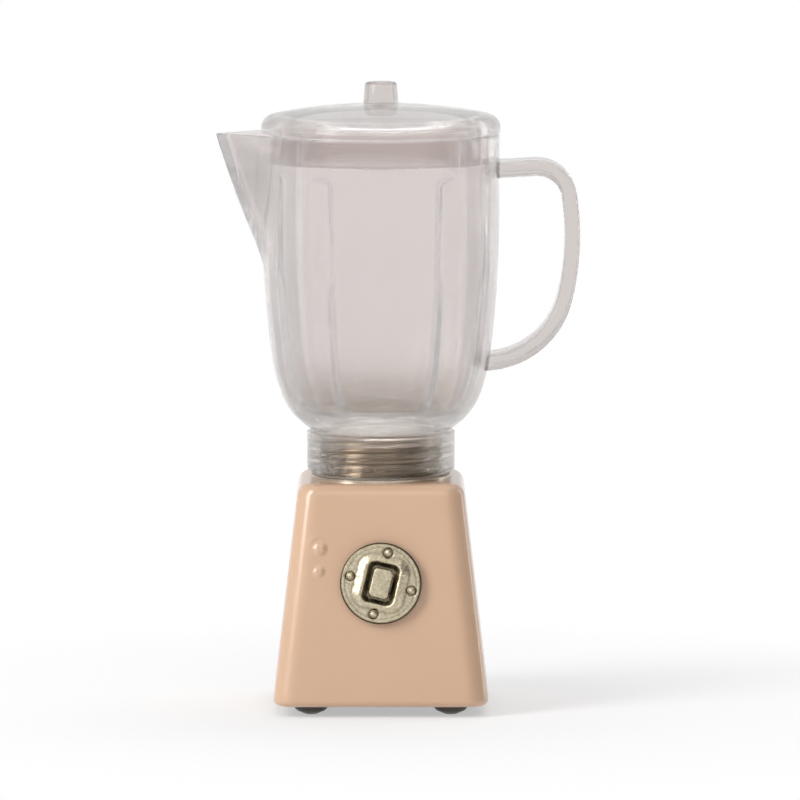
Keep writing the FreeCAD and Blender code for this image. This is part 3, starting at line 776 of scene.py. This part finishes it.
def thread_share(angles, z, extra):
    """How far up the thread's flank each point is, from 0 at the root to 1 at the crest."""
    start = base_top - thread_pitch
    turns = (z - start) / thread_pitch - angles / TURN
    away = np.abs(turns - np.round(turns)) * thread_pitch
    root = thread_root_width / 2 + extra
    crest = thread_crest_width / 2 + extra
    return np.clip((root - away) / (root - crest), 0, 1)


def build_boss():
    """Flange and threaded post, with a shallow dish in its top."""
    angles = even_angles(288)
    flange_top = base_top + flange_height
    rings = [
        round_ring(pole_ring, base_top, angles),
        round_ring(flange_radius, base_top, angles),
        round_ring(flange_radius, flange_top - flange_edge, angles),
        round_ring(flange_radius - flange_edge, flange_top, angles),
    ]
    for z in np.arange(flange_top, boss_top + 0.001, 0.07):
        depth = thread_depth * smooth_step(flange_top, flange_top + thread_lead_in, z)
        limit = thread_root + thread_depth - max(0, z - (boss_top - boss_chamfer))
        radius = np.minimum(thread_root + depth * thread_share(angles, z, 0), limit)
        rings.append(round_ring(radius, z, angles))
    rings.append(round_ring(dish_rim, boss_top, angles))
    for radius in (dish_floor, pole_ring):
        rings.append(round_ring(radius, boss_top - dish_depth, angles))
    piece = new_piece("jar_boss_threaded", *ring_skin(on_jar_axis(rings)), silver, 40)
    place_on(piece, "base", ["jar_boss"])


# Dial


def dial_matrix():
    """From the dial's own frame, in metres, to the object's frame."""
    joint = joints["dial_turn"]
    out = Vector(joint["axis"]).normalized()
    right = Vector((1, 0, 0))
    above = out.cross(right)
    stand = Matrix((right, above, out)).transposed().to_4x4()
    return Matrix.Translation(Vector(joint["pos_m"])) @ stand @ Matrix.Rotation(dial_spin, 4, "Z")


def cast_grain(x, y, seed):
    """Sandy waves of a casting, about 0 high on average, from a few crossed sines."""
    rng = np.random.default_rng(seed)
    total = np.zeros_like(x)
    for _ in range(18):
        heading = rng.uniform(0, math.pi)
        rate = rng.uniform(4, 15)
        total += np.sin((x * math.cos(heading) + y * math.sin(heading)) * rate + rng.uniform(0, TURN))
    return total / 9


def dial_face(x, y):
    """Height of the dial's front, and its share of patina and painted shade, at points of its own frame."""
    away = np.hypot(x, y)
    ridge = slab_distance(x, y, ridge_half, ridge_corner)
    well = slab_distance(x, y, well_half, well_corner)
    lift = 1 - smooth_step(*ridge_slope, ridge)
    sink = 1 - smooth_step(*well_slope, well)
    height = dial_front + (ridge_top - dial_front) * lift
    height = height + (well_floor - height) * sink
    height = height + dial_crown * (1 - (away / dial_radius) ** 2) * (1 - sink)
    # Patina and painted shade in the key's well, and a line of painted shade at the ridge's outer foot.
    recess = np.maximum(0.72 * sink ** 1.4, 0.40 * bell(ridge - 0.20, 0.16))
    for angle in even_angles(rivet_count):
        from_rivet = np.hypot(x - rivet_circle * math.cos(angle), y - rivet_circle * math.sin(angle))
        moat = bell(from_rivet - moat_reach, moat_width)
        height = height - moat_depth * moat
        # Painted shade in each rivet's moat.
        recess = np.maximum(recess, moat)
    groove = bell(away - dial_radius + rim_groove_inset, rim_groove_width)
    height = height - rim_groove_depth * groove
    # Painted shade in the groove round the rim.
    recess = np.maximum(recess, 0.3 * groove)
    return height + grain_height * cast_grain(x, y, 7), recess


def build_dial():
    """Disc with its hub, skinned from the spring's well over the front, round the edge and back."""
    angles = even_angles(200)
    rings = []
    marks = []
    face_end = dial_radius - dial_edge
    carved = np.linspace(spring_well_radius, 3.2, 56)
    plain = np.linspace(3.24, face_end, 22)
    for radius in np.concatenate([carved, plain]):
        x, y = radius * np.cos(angles), radius * np.sin(angles)
        height, recess = dial_face(x, y)
        rings.append(np.column_stack([x, y, height]))
        marks.append(recess)
    edge = rings[-1][:, 2]
    for step in range(1, 7):
        bend = math.pi / 2 * step / 6
        drop = dial_edge * (1 - math.cos(bend))
        rings.append(round_ring(face_end + dial_edge * math.sin(bend), edge - drop, angles))
        # Painted shade on the disc's rounded edge, deepening towards its side.
        marks.append(np.full(len(angles), min(1.0, step / 2.4)))
    for radius, z in (
        (dial_radius, dial_back + dial_back_edge), (dial_radius - dial_back_edge, dial_back),
        (hub_radius, dial_back), (hub_radius, hub_end),
        (shank_radius + 0.05, hub_end), (shank_radius + 0.05, spring_well_floor),
        (spring_well_radius, spring_well_floor), (spring_well_radius, well_floor - 0.15),
    ):
        rings.append(round_ring(radius, z, angles))
        # Painted shade on the disc's back, hub and spring well.
        marks.append(np.full(len(angles), 0.9))
    piece = new_piece("dial_disc", *ring_skin(rings, closed=True), aged_nickel, 60)
    set_share(piece, "recess", np.concatenate(marks))
    piece.data.transform(dial_matrix())
    place_on(piece, "dial", ["dial_plate"])


def build_rivets():
    """Domed rivets, copied round the dial, with painted shade darkening them towards the disc."""
    outline = [
        (0, dial_front + rivet_rise, 0), (0.19, dial_front + rivet_rise - 0.03, 0.2),
        (rivet_radius - 0.03, dial_front + 0.12, 0.14), (rivet_radius, dial_front - 0.1, 0),
        (rivet_stem, dial_front - 0.1, 0), (rivet_stem, dial_back, 0), (0, dial_back, 0),
    ]
    rivet = new_piece("rivet", *ring_skin(turned_rings(outline, 40)), aged_nickel)
    rivets = copies_round("dial_rivet_heads", rivet, rivet_count, rivet_circle, 0.0, aged_nickel)
    heights = np.array([vertex.co.z for vertex in rivets.data.vertices]) / MM
    # Painted shade low on each rivet, where it meets the disc.
    set_share(rivets, "recess", 1 - smooth_step(dial_front, dial_front + 0.17, heights))
    rivets.data.shade_smooth()
    rivets.data.transform(dial_matrix())
    place_on(rivets, "dial", ["dial_rivets"])


def build_key():
    """Key from the tail of its shank up, past the clip's groove, to its crowned and grainy top."""
    angles = even_angles(176)
    clip_high = hub_end - clip_gap
    clip_low = clip_high - clip_thickness
    # The third number of each row is its share of painted shade: full on the hidden shank, deep on the key's
    # sides, fading to none on its top.
    rows = [
        (0.1, clip_low - shank_tail, 1.0), (shank_radius, clip_low - shank_tail, 1.0),
        (shank_radius, clip_low, 1.0), (shank_radius - clip_groove, clip_low, 1.0),
        (shank_radius - clip_groove, clip_high, 1.0), (shank_radius, clip_high, 1.0),
        (shank_radius, key_back, 1.0),
    ]
    outline = slab_radius(angles, key_half, key_corner)
    side_top = key_top - key_edge
    rows += [(outline, key_back, 1.0), (outline, side_top - 0.12, 0.85), (outline, side_top, 0.35)]
    for bend in np.linspace(0.25, math.pi / 2, 6):
        inset, drop = key_edge * (1 - math.cos(bend)), key_edge * (1 - math.sin(bend))
        rows.append((outline - inset, key_top - drop, 0.05))
    for share in np.linspace(0.93, 0.08, 22):
        radius = (outline - key_edge) * share
        grain = grain_height * cast_grain(radius * np.cos(angles), radius * np.sin(angles), 11)
        rows.append((radius, key_top + dial_crown * (1 - share ** 2) + grain, 0.0))
    rings = [round_ring(radius, z, angles) for radius, z, mark in rows]
    marks = np.repeat([mark for radius, z, mark in rows], len(angles))
    piece = new_piece("dial_key_cap", *ring_skin(rings), aged_nickel, 60)
    set_share(piece, "recess", np.append(marks, [1.0, 0.0]))
    piece.data.transform(dial_matrix())
    place_on(piece, "key", ["dial_key"])


# Jar


def jar_chain(inset):
    """Points and inward slopes of the jar's side, from its straight part's end down and inwards."""
    r, z, slope = jar_radius, jar_straight_end, 0.0
    found = []
    for radius, turn in bowl_arcs:
        middle_r = r - radius * math.cos(slope)
        middle_z = z + radius * math.sin(slope)
        end = slope + math.radians(turn)
        steps = max(6, int(turn / 3.2))
        for step in range(steps + 1):
            angle = slope + (end - slope) * step / steps
            if step or not found:
                reach = radius - inset
                point = (middle_r + reach * math.cos(angle), middle_z - reach * math.sin(angle), angle)
                found.append(point)
        r = middle_r + radius * math.cos(end)
        z = middle_z - radius * math.sin(end)
        slope = end
    return found


outer_chain = jar_chain(0)


def wall_radius_at(z):
    """Outer radius of the jar's side at one height."""
    heights = [point[1] for point in outer_chain][::-1]
    radii = [point[0] for point in outer_chain][::-1]
    return float(np.interp(z, heights, radii))


def nose_reach_at(z):
    """How far the spout's bowed nose stands from the jar's axis at one height."""
    root = wall_radius_at(spout_root)
    run, rise = spout_reach - root, jar_rim - spout_root
    chord = math.hypot(run, rise)
    back = math.sqrt(spout_bow ** 2 - chord ** 2 / 4)
    middle_r = (spout_reach + root) / 2 - back * rise / chord
    middle_z = (jar_rim + spout_root) / 2 + back * run / chord
    return middle_r + math.sqrt(spout_bow ** 2 - (z - middle_z) ** 2)


def spout_radius(angles, z, inset, corner):
    """Distance from the jar's axis to the spout's two flat sides and rounded nose."""
    nose, wall = nose_reach_at(z), wall_radius_at(z)
    half = spout_tuck * math.asin(min(1.0, wall / nose))
    shift = (inset + corner - spout_corner) / math.sin(half) if inset else 0.0
    middle = nose - spout_corner - shift
    away = np.abs((angles % TURN) - math.pi)
    reach = middle * math.sin(half) + corner
    touch = math.atan2(corner * math.cos(half), middle + corner * math.sin(half))
    sides = reach / np.sin(np.clip(half + away, 0.01, math.pi / 2))
    inside = np.maximum(corner ** 2 - (middle * np.sin(np.minimum(away, touch))) ** 2, 0)
    tip = middle * np.cos(away) + np.sqrt(inside)
    return np.where(away < touch, tip, sides)


def jar_angles():
    """Angles round the jar, closer together at the spout's nose."""
    even = np.arange(0, 360, 1.0)
    nose = 180 + np.array([-3.5, -2.5, -1.6, -1.25, -0.9, -0.7, -0.5, -0.3, -0.15])
    degrees = np.concatenate([even, nose, 360 - nose])
    return np.radians(np.unique(np.round(degrees, 3)))


def outer_ring(radius, z, angles):
    """Outside of the jar at one height, with the spout where it has one."""
    radius = np.full(len(angles), radius)
    if z > spout_root - 1.5:
        radius = smooth_max(spout_radius(angles, z, 0, spout_corner), radius, 0.22)
    return round_ring(radius, z, angles)


def rib_height(angles, r, z):
    """How far the soft ribs stand out of the inner wall, rounded off at their upper ends."""
    pitch = TURN / rib_count
    away = (angles - rib_first + pitch / 2) % pitch - pitch / 2
    sideways = np.clip(np.abs(r * np.sin(away)) / rib_half_width, 0, 1)
    end = smooth_step(0, rib_end_round, rib_top - z)
    return rib_rise * end * (0.5 + 0.5 * np.cos(math.pi * sideways))


def inner_ring(r, z, slope, angles, rib_share=1.0):
    """Inside of the jar at one height, with its ribs and the spout's channel."""
    rise = rib_height(angles, r, z) * rib_share
    radius = r - rise * math.cos(slope)
    if z > spout_root - 1:
        channel = spout_radius(angles, z, spout_wall, spout_inner_corner)
        radius = smooth_max(channel, radius, 0.15)
    return round_ring(radius, z + rise * math.sin(slope), angles)


def neck_rings(angles):
    """Threaded bore from its ceiling down, the bottom edge, and the neck's outside up to the bowl."""
    bore = thread_root + thread_gap
    rings = [round_ring(radius, neck_ceiling, angles) for radius in (pole_ring, 3.0, 5.4)]
    for z in np.arange(neck_ceiling, neck_bottom + 0.05, -0.1):
        fade = 1 - smooth_step(neck_ceiling - 0.5, neck_ceiling - 0.1, z)
        radius = bore + thread_depth * thread_share(angles, z, thread_gap) * fade
        rings.append(round_ring(radius, z, angles))
    bowl_end = outer_chain[-1][1]
    path = round_path([
        (bore + 0.35, neck_bottom, 0), (neck_radius, neck_bottom, neck_edge),
        (neck_radius, bowl_end - 0.3, 0), (neck_radius + 0.02, bowl_end - 0.12, 0),
    ])
    side = [(neck_radius, z) for z in np.arange(neck_bottom + 0.6, bowl_end - 0.35, 0.14)]
    from_front = np.abs((angles + math.pi / 2 + math.pi) % TURN - math.pi) * neck_radius
    for r, z in path[:-2] + side + path[-2:]:
        nub = smooth_step(neck_bottom + 0.1, neck_bottom + 0.3, z)
        nub *= 1 - smooth_step(neck_bottom + 0.8, neck_bottom + 1.05, z)
        nub = nub_rise * nub * (1 - smooth_step(0.45, 0.78, from_front))
        rings.append(round_ring(r + nub, z, angles))
    return rings


def rim_rings(angles):
    """Rounded rim of the jar, from its outer edge over to its inner one."""
    outer = outer_ring(jar_radius, jar_rim, angles)
    inner = inner_ring(jar_radius - jar_wall, jar_rim, 0, angles)
    outer_radius, inner_radius = (np.hypot(ring[:, 0], ring[:, 1]) for ring in (outer, inner))
    bends = np.linspace(0, math.pi / 2, 5)
    rings = []
    for bend in bends:
        inset, drop = rim_round * (1 - math.cos(bend)), rim_round * (1 - math.sin(bend))
        rings.append(round_ring(outer_radius - inset, jar_rim - drop, angles))
    for bend in bends[::-1]:
        inset, drop = rim_round * (1 - math.cos(bend)), rim_round * (1 - math.sin(bend))
        rings.append(round_ring(inner_radius + inset, jar_rim - drop, angles))
    return rings


def inside_rings(angles):
    """Inside of the jar from under its rim down to its floor."""
    side = [(jar_radius - jar_wall, z, 0.0) for z in np.arange(jar_rim - 0.5, jar_straight_end, -jar_row)]
    side += jar_chain(jar_wall)
    side = [point for point in side if point[1] > jar_floor + floor_corner_height]
    rings = [inner_ring(r, z, slope, angles) for r, z, slope in side]
    last_r, last_z, last_slope = side[-1]
    for share in np.linspace(0.15, 1, 6):
        bend = share * math.pi / 2
        r = last_r - floor_corner_width * (1 - math.cos(bend)) - 0.35 * share
        z = last_z - (last_z - jar_floor) * math.sin(bend)
        slope = last_slope + (math.pi / 2 - last_slope) * share
        rings.append(inner_ring(r, z, slope, angles, 1 - share))
    return rings + [round_ring(radius, jar_floor, angles) for radius in (5.0, 3.0, pole_ring)]


def build_jar():
    """Jug as one closed skin: neck, outside, rim and inside."""
    angles = jar_angles()
    rings = neck_rings(angles)
    rings += [outer_ring(r, z, angles) for r, z, slope in outer_chain[::-1]]
    straight = np.arange(jar_straight_end + 0.35, jar_rim - rim_round - 0.05, jar_row)
    rings += [outer_ring(jar_radius, z, angles) for z in straight]
    rings += rim_rings(angles)
    rings += inside_rings(angles)
    piece = new_piece("jar_clear", *ring_skin(on_jar_axis(rings)), clear_plastic, 55)
    place_on(piece, "jar", ["jar_bowl"])


def line_arc(middle, radius, first, last, steps):
    """Points of an arc between two directions, each with its outward angle."""
    start, end = math.atan2(first[1], first[0]), math.atan2(last[1], last[0])
    turns = [start + (end - start) * step / steps for step in range(steps + 1)]
    return [(middle + radius * np.array([math.cos(turn), math.sin(turn)]), turn) for turn in turns]


def handle_line():
    """Middle line of the handle in the XZ plane: points with their outward angles, from the top."""
    along = np.array([math.cos(handle_arm_tilt), math.sin(handle_arm_tilt)])
    inward = np.array([math.sin(handle_arm_tilt), -math.cos(handle_arm_tilt)])
    down = np.array([0.0, -1.0])
    arm = np.array([jar_radius, handle_arm_height])
    back = np.array([handle_reach - handle_thickness / 2 - handle_back, handle_back_height])

    away = arm + inward * handle_corner - back
    half_b = away @ along
    root = math.sqrt(half_b ** 2 - away @ away + (handle_back - handle_corner) ** 2)
    corner = arm + inward * handle_corner + along * (root - half_b)

    drop = handle_back_height - handle_low_height - handle_low
    low = back + np.array([math.sqrt((handle_back - handle_low) ** 2 - drop ** 2), -drop])

    line = [(arm, math.atan2(-inward[1], -inward[0]))]
    line += line_arc(corner, handle_corner, -inward, corner - back, 12)
    line += line_arc(back, handle_back, corner - back, low - back, 26)[1:]
    line += line_arc(low, handle_low, low - back, down, 20)[1:]
    line.append((np.array([jar_radius - handle_tail_sink, handle_low_height]), -math.pi / 2))
    return line


def handle_section():
    """Rounded rectangle across the handle, as (thickness, width) points."""
    half_t, half_w = handle_thickness / 2 - handle_edge, handle_width / 2 - handle_edge
    section = []
    for quarter, (side_t, side_w) in enumerate(((1, 1), (-1, 1), (-1, -1), (1, -1))):
        for step in range(6):
            turn = (quarter + step / 5) * math.pi / 2
            corner = (handle_edge * math.cos(turn), handle_edge * math.sin(turn))
            section.append((side_t * half_t + corner[0], side_w * half_w + corner[1]))
    return np.array(section)


def onto_wall(ring, tilt):
    """Ring of the handle moved along its arm until it lies on the jar's wall."""
    wall = np.array([wall_radius_at(z) for z in ring[:, 2]]) + bond_gap
    wall_x = np.sqrt(wall ** 2 - ring[:, 1] ** 2)
    return np.column_stack([wall_x, ring[:, 1], ring[:, 2] + (wall_x - ring[:, 0]) * math.tan(tilt)])


def build_handle():
    """Handle with both ends fitted to the jar's wall, and marks where the bond darkens it."""
    section = handle_section()
    rings = []
    for point, turn in handle_line():
        x = point[0] + section[:, 0] * math.cos(turn)
        z = point[1] + section[:, 0] * math.sin(turn)
        rings.append(np.column_stack([x, section[:, 1], z]))
    first, last = onto_wall(rings[0], handle_arm_tilt), onto_wall(rings[-1], 0.0)
    free = [ring for ring in rings[1:-1] if ring[:, 0].min() > wall_radius_at(ring[:, 2].mean()) + 0.05]
    near, far = np.array([bond_dark / 2, 0, 0]), np.array([bond_dark, 0, 0])
    rings = [first, first + near, first + far] + free + [last + far, last + near, last]
    piece = new_piece("handle_clear", *ring_skin(on_jar_axis(rings)), clear_handle, 55)
    marks = np.zeros(len(rings))
    marks[[0, 1, -2, -1]] = (1.0, 0.95, 0.95, 1.0)
    set_share(piece, "bonded", np.append(np.repeat(marks, len(section)), [1.0, 1.0]))
    place_on(piece, "jar", ["jar_handle"])


def build_seal():
    """Thin ring between the flange and the neck, with a slight bulge outwards."""
    angles = even_angles(160)
    inner, outer = flange_radius - 0.45, flange_radius - 0.05
    low, high = seal_low.z, seal_high.z
    outline = (
        (inner, low), (outer - 0.04, low), (outer, (low + high) / 2), (outer - 0.04, high), (inner, high),
    )
    rings = on_jar_axis([round_ring(r, z, angles) for r, z in outline])
    piece = new_piece("seal_ring", *ring_skin(rings, closed=True), milky_seal)
    place_on(piece, "seal", ["neck_seal"])


def build_lid():
    """Lid from the recess under its knob over the dome and shoulder, then down and up its skirt."""
    middle = lid_crown - lid_dome
    shoulder_r = lid_radius - lid_shoulder
    shoulder_z = middle + math.sqrt((lid_dome - lid_shoulder) ** 2 - shoulder_r ** 2)
    meet = math.asin(shoulder_r / (lid_dome - lid_shoulder))
    recess_r = spigot_radius + 0.01
    recess_z = lid_crown - spigot_length - spigot_room
    path = [(0.05, recess_z), (recess_r, recess_z)]
    for turn in np.linspace(math.asin(recess_r / lid_dome), meet, 26):
        path.append((lid_dome * math.sin(turn), middle + lid_dome * math.cos(turn)))
    for turn in np.linspace(meet, math.pi / 2, 14)[1:]:
        path.append((shoulder_r + lid_shoulder * math.sin(turn), shoulder_z + lid_shoulder * math.cos(turn)))
    skirt_inner = skirt_radius - skirt_wall
    path += round_path([
        (lid_radius, shoulder_z - 0.02, 0), (lid_radius, lid_bottom, 0.18), (skirt_radius, lid_bottom, 0.12),
        (skirt_radius, skirt_bottom, skirt_round), (skirt_inner, skirt_bottom, skirt_round),
        (skirt_inner, lid_ceiling, 0.5), (0.05, lid_ceiling, 0),
    ], steps=7)
    angles = even_angles(240)
    rings = on_jar_axis([round_ring(r, z, angles) for r, z in path])
    piece = new_piece("lid_clear", *ring_skin(rings), clear_lid, 55)
    place_on(piece, "lid", ["lid_cap"])


def build_knob():
    """Tapered knob, with a spigot down into the lid."""
    knob_bottom = lid_crown + 0.01
    outline = [
        (0.05, knob_low.z, 0), (spigot_radius, knob_low.z, 0), (spigot_radius, knob_bottom, 0),
        (knob_low_radius, knob_bottom, 0.08), (knob_high_radius, knob_top, 0.42), (0.05, knob_top, 0),
    ]
    rings = on_jar_axis(turned_rings(outline, 96))
    piece = new_piece("lid_knob_clear", *ring_skin(rings), clear_handle, 55)
    place_on(piece, "lid", ["lid_knob"])


# Pieces whose own meshes stay


def finish_nodes():
    """Materials for the fasteners and the pieces out of sight."""
    for name, material in (
        ("bottom_plate", dark_plate), ("bottom_plate_screws", steel), ("boss_washer", steel),
        ("boss_screw", steel), ("dial_washer", fibre), ("dial_retaining_ring", steel),
        ("key_spring", steel), ("key_clip", steel),
    ):
        node = frame["nodes"][name]
        node.data.materials.clear()
        node.data.materials.append(material)


# Stage


def build_floor():
    """Pale floor that keeps the shadow near the object and turns plain white further out."""
    material = bpy.data.materials.new("pale_floor")
    material.use_nodes = True
    tree = material.node_tree
    tree.nodes.clear()
    place = add_node(tree, "ShaderNodeTexCoord")
    length = add_node(tree, "ShaderNodeVectorMath", operation="LENGTH")
    start, end = floor_fade
    fade = add_range(tree, start * MM, end * MM, floor_least_white, 1.0, "LINEAR")
    matte = add_node(tree, "ShaderNodeBsdfDiffuse")
    matte.inputs["Color"].default_value = (0.9, 0.9, 0.9, 1)
    white = add_node(tree, "ShaderNodeEmission")
    rays = add_node(tree, "ShaderNodeLightPath")
    seen = add_node(tree, "ShaderNodeMath", operation="MAXIMUM")
    seen_any = add_node(tree, "ShaderNodeMath", operation="MAXIMUM")
    share = add_node(tree, "ShaderNodeMath", operation="MULTIPLY")
    mixed = add_node(tree, "ShaderNodeMixShader")
    output = add_node(tree, "ShaderNodeOutputMaterial")
    join(
        tree,
        (place.outputs["Object"], length.inputs[0]), (length.outputs["Value"], fade.inputs["Value"]),
        (rays.outputs["Is Camera Ray"], seen.inputs[0]), (rays.outputs["Is Glossy Ray"], seen.inputs[1]),
        (seen.outputs[0], seen_any.inputs[0]), (rays.outputs["Is Transmission Ray"], seen_any.inputs[1]),
        (seen_any.outputs[0], share.inputs[0]), (fade.outputs["Result"], share.inputs[1]),
        (share.outputs[0], mixed.inputs["Fac"]), (matte.outputs[0], mixed.inputs[1]),
        (white.outputs[0], mixed.inputs[2]), (mixed.outputs[0], output.inputs["Surface"]),
    )
    half = floor_half * MM
    corners = [(-half, -half, 0), (half, -half, 0), (half, half, 0), (-half, half, 0)]
    mesh = bpy.data.meshes.new("floor")
    mesh.from_pydata(corners, [], [(0, 1, 2, 3)])
    mesh.materials.append(material)
    floor = bpy.data.objects.new("floor", mesh)
    bpy.context.scene.collection.objects.link(floor)


def build_world():
    """White where the camera looks, and a grey studio for everything else, paler near the horizon."""
    world = bpy.data.worlds.new("studio")
    bpy.context.scene.world = world
    world.use_nodes = True
    tree = world.node_tree
    tree.nodes.clear()
    place = add_node(tree, "ShaderNodeTexCoord")
    split = add_node(tree, "ShaderNodeSeparateXYZ")
    height = add_node(tree, "ShaderNodeMath", operation="ABSOLUTE")
    heights = add_range(tree, 0.16, 0.6, 1.0, overhead_level)
    side = add_node(tree, "ShaderNodeMath", operation="ABSOLUTE")
    sides = add_range(tree, 0.70, 0.97, 1.0, side_level)
    level = add_node(tree, "ShaderNodeMath", operation="MULTIPLY")
    room = add_node(tree, "ShaderNodeBackground")
    towards_dark = add_node(tree, "ShaderNodeVectorMath", operation="DOT_PRODUCT")
    towards_dark.inputs[1].default_value = dark_side
    darker = add_range(tree, 0.30, 0.85, 1.0, dark_side_level)
    mirror_level = add_node(tree, "ShaderNodeMath", operation="MULTIPLY")
    mirror_room = add_node(tree, "ShaderNodeBackground")
    ambient = add_node(tree, "ShaderNodeBackground")
    ambient.inputs["Color"].default_value = ambient_light
    white = add_node(tree, "ShaderNodeBackground")
    rays = add_node(tree, "ShaderNodeLightPath")
    lit = add_node(tree, "ShaderNodeMixShader")
    mirrored = add_node(tree, "ShaderNodeMixShader")
    shown = add_node(tree, "ShaderNodeMixShader")
    output = add_node(tree, "ShaderNodeOutputWorld")
    join(
        tree,
        (place.outputs["Generated"], split.inputs[0]), (place.outputs["Generated"], towards_dark.inputs[0]),
        (split.outputs["Z"], height.inputs[0]), (height.outputs[0], heights.inputs["Value"]),
        (split.outputs["X"], side.inputs[0]), (side.outputs[0], sides.inputs["Value"]),
        (heights.outputs["Result"], level.inputs[0]), (sides.outputs["Result"], level.inputs[1]),
        (level.outputs[0], room.inputs["Strength"]), (towards_dark.outputs["Value"], darker.inputs["Value"]),
        (darker.outputs["Result"], mirror_level.inputs[0]), (level.outputs[0], mirror_level.inputs[1]),
        (mirror_level.outputs[0], mirror_room.inputs["Strength"]),
        (rays.outputs["Is Transmission Ray"], lit.inputs["Fac"]),
        (ambient.outputs[0], lit.inputs[1]), (room.outputs[0], lit.inputs[2]),
        (rays.outputs["Is Glossy Ray"], mirrored.inputs["Fac"]),
        (lit.outputs[0], mirrored.inputs[1]), (mirror_room.outputs[0], mirrored.inputs[2]),
        (rays.outputs["Is Camera Ray"], shown.inputs["Fac"]),
        (mirrored.outputs[0], shown.inputs[1]), (white.outputs[0], shown.inputs[2]),
        (shown.outputs[0], output.inputs["Surface"]),
    )


def add_softbox(name, azimuth, elevation, distance, size, power):
    """Area lamp aimed at the middle of the object, from an azimuth counted from the front to the right."""
    turn, lift = math.radians(azimuth), math.radians(elevation)
    back = Vector((math.sin(turn) * math.cos(lift), -math.cos(turn) * math.cos(lift), math.sin(lift)))
    lamp = bpy.data.lights.new(name, "AREA")
    lamp.shape = "RECTANGLE"
    lamp.size, lamp.size_y = size
    lamp.energy = power
    holder = bpy.data.objects.new(name, lamp)
    holder.location = Vector((0, 0, lamp_target * MM)) + back * distance
    holder.rotation_euler = back.to_track_quat("Z", "Y").to_euler()
    bpy.context.scene.collection.objects.link(holder)


def build_lamps():
    """Four softboxes, with distances and sizes in metres and powers in watts."""
    add_softbox("key_softbox", -56, 30, 0.5, (0.18, 0.42), 1.8)
    add_softbox("front_fill", 12, 40, 0.7, (0.5, 0.4), 0.6)
    add_softbox("top_softbox", 160, 70, 0.6, (0.5, 0.5), 1.5)
    add_softbox("rear_right_strip", 118, 12, 0.5, (0.10, 0.40), 0.3)


def build_camera():
    """Camera in front of the object and a little above it, with a long lens."""
    data = bpy.data.cameras.new("camera")
    data.lens = camera_lens
    data.sensor_width = 36
    data.clip_start = 0.01
    back = Vector((0, -math.cos(camera_elevation), math.sin(camera_elevation)))
    camera = bpy.data.objects.new("camera", data)
    camera.location = (camera_aim + back * camera_distance) * MM
    camera.rotation_euler = back.to_track_quat("Z", "Y").to_euler()
    bpy.context.scene.collection.objects.link(camera)
    bpy.context.scene.camera = camera


build_camera()
build_housing()
build_feet()
build_boss()
build_dial()
build_rivets()
build_key()
build_seal()
build_jar()
build_handle()
build_lid()
build_knob()
finish_nodes()
build_floor()
build_world()
build_lamps()
bpy.context.scene.view_settings.view_transform = "Standard"
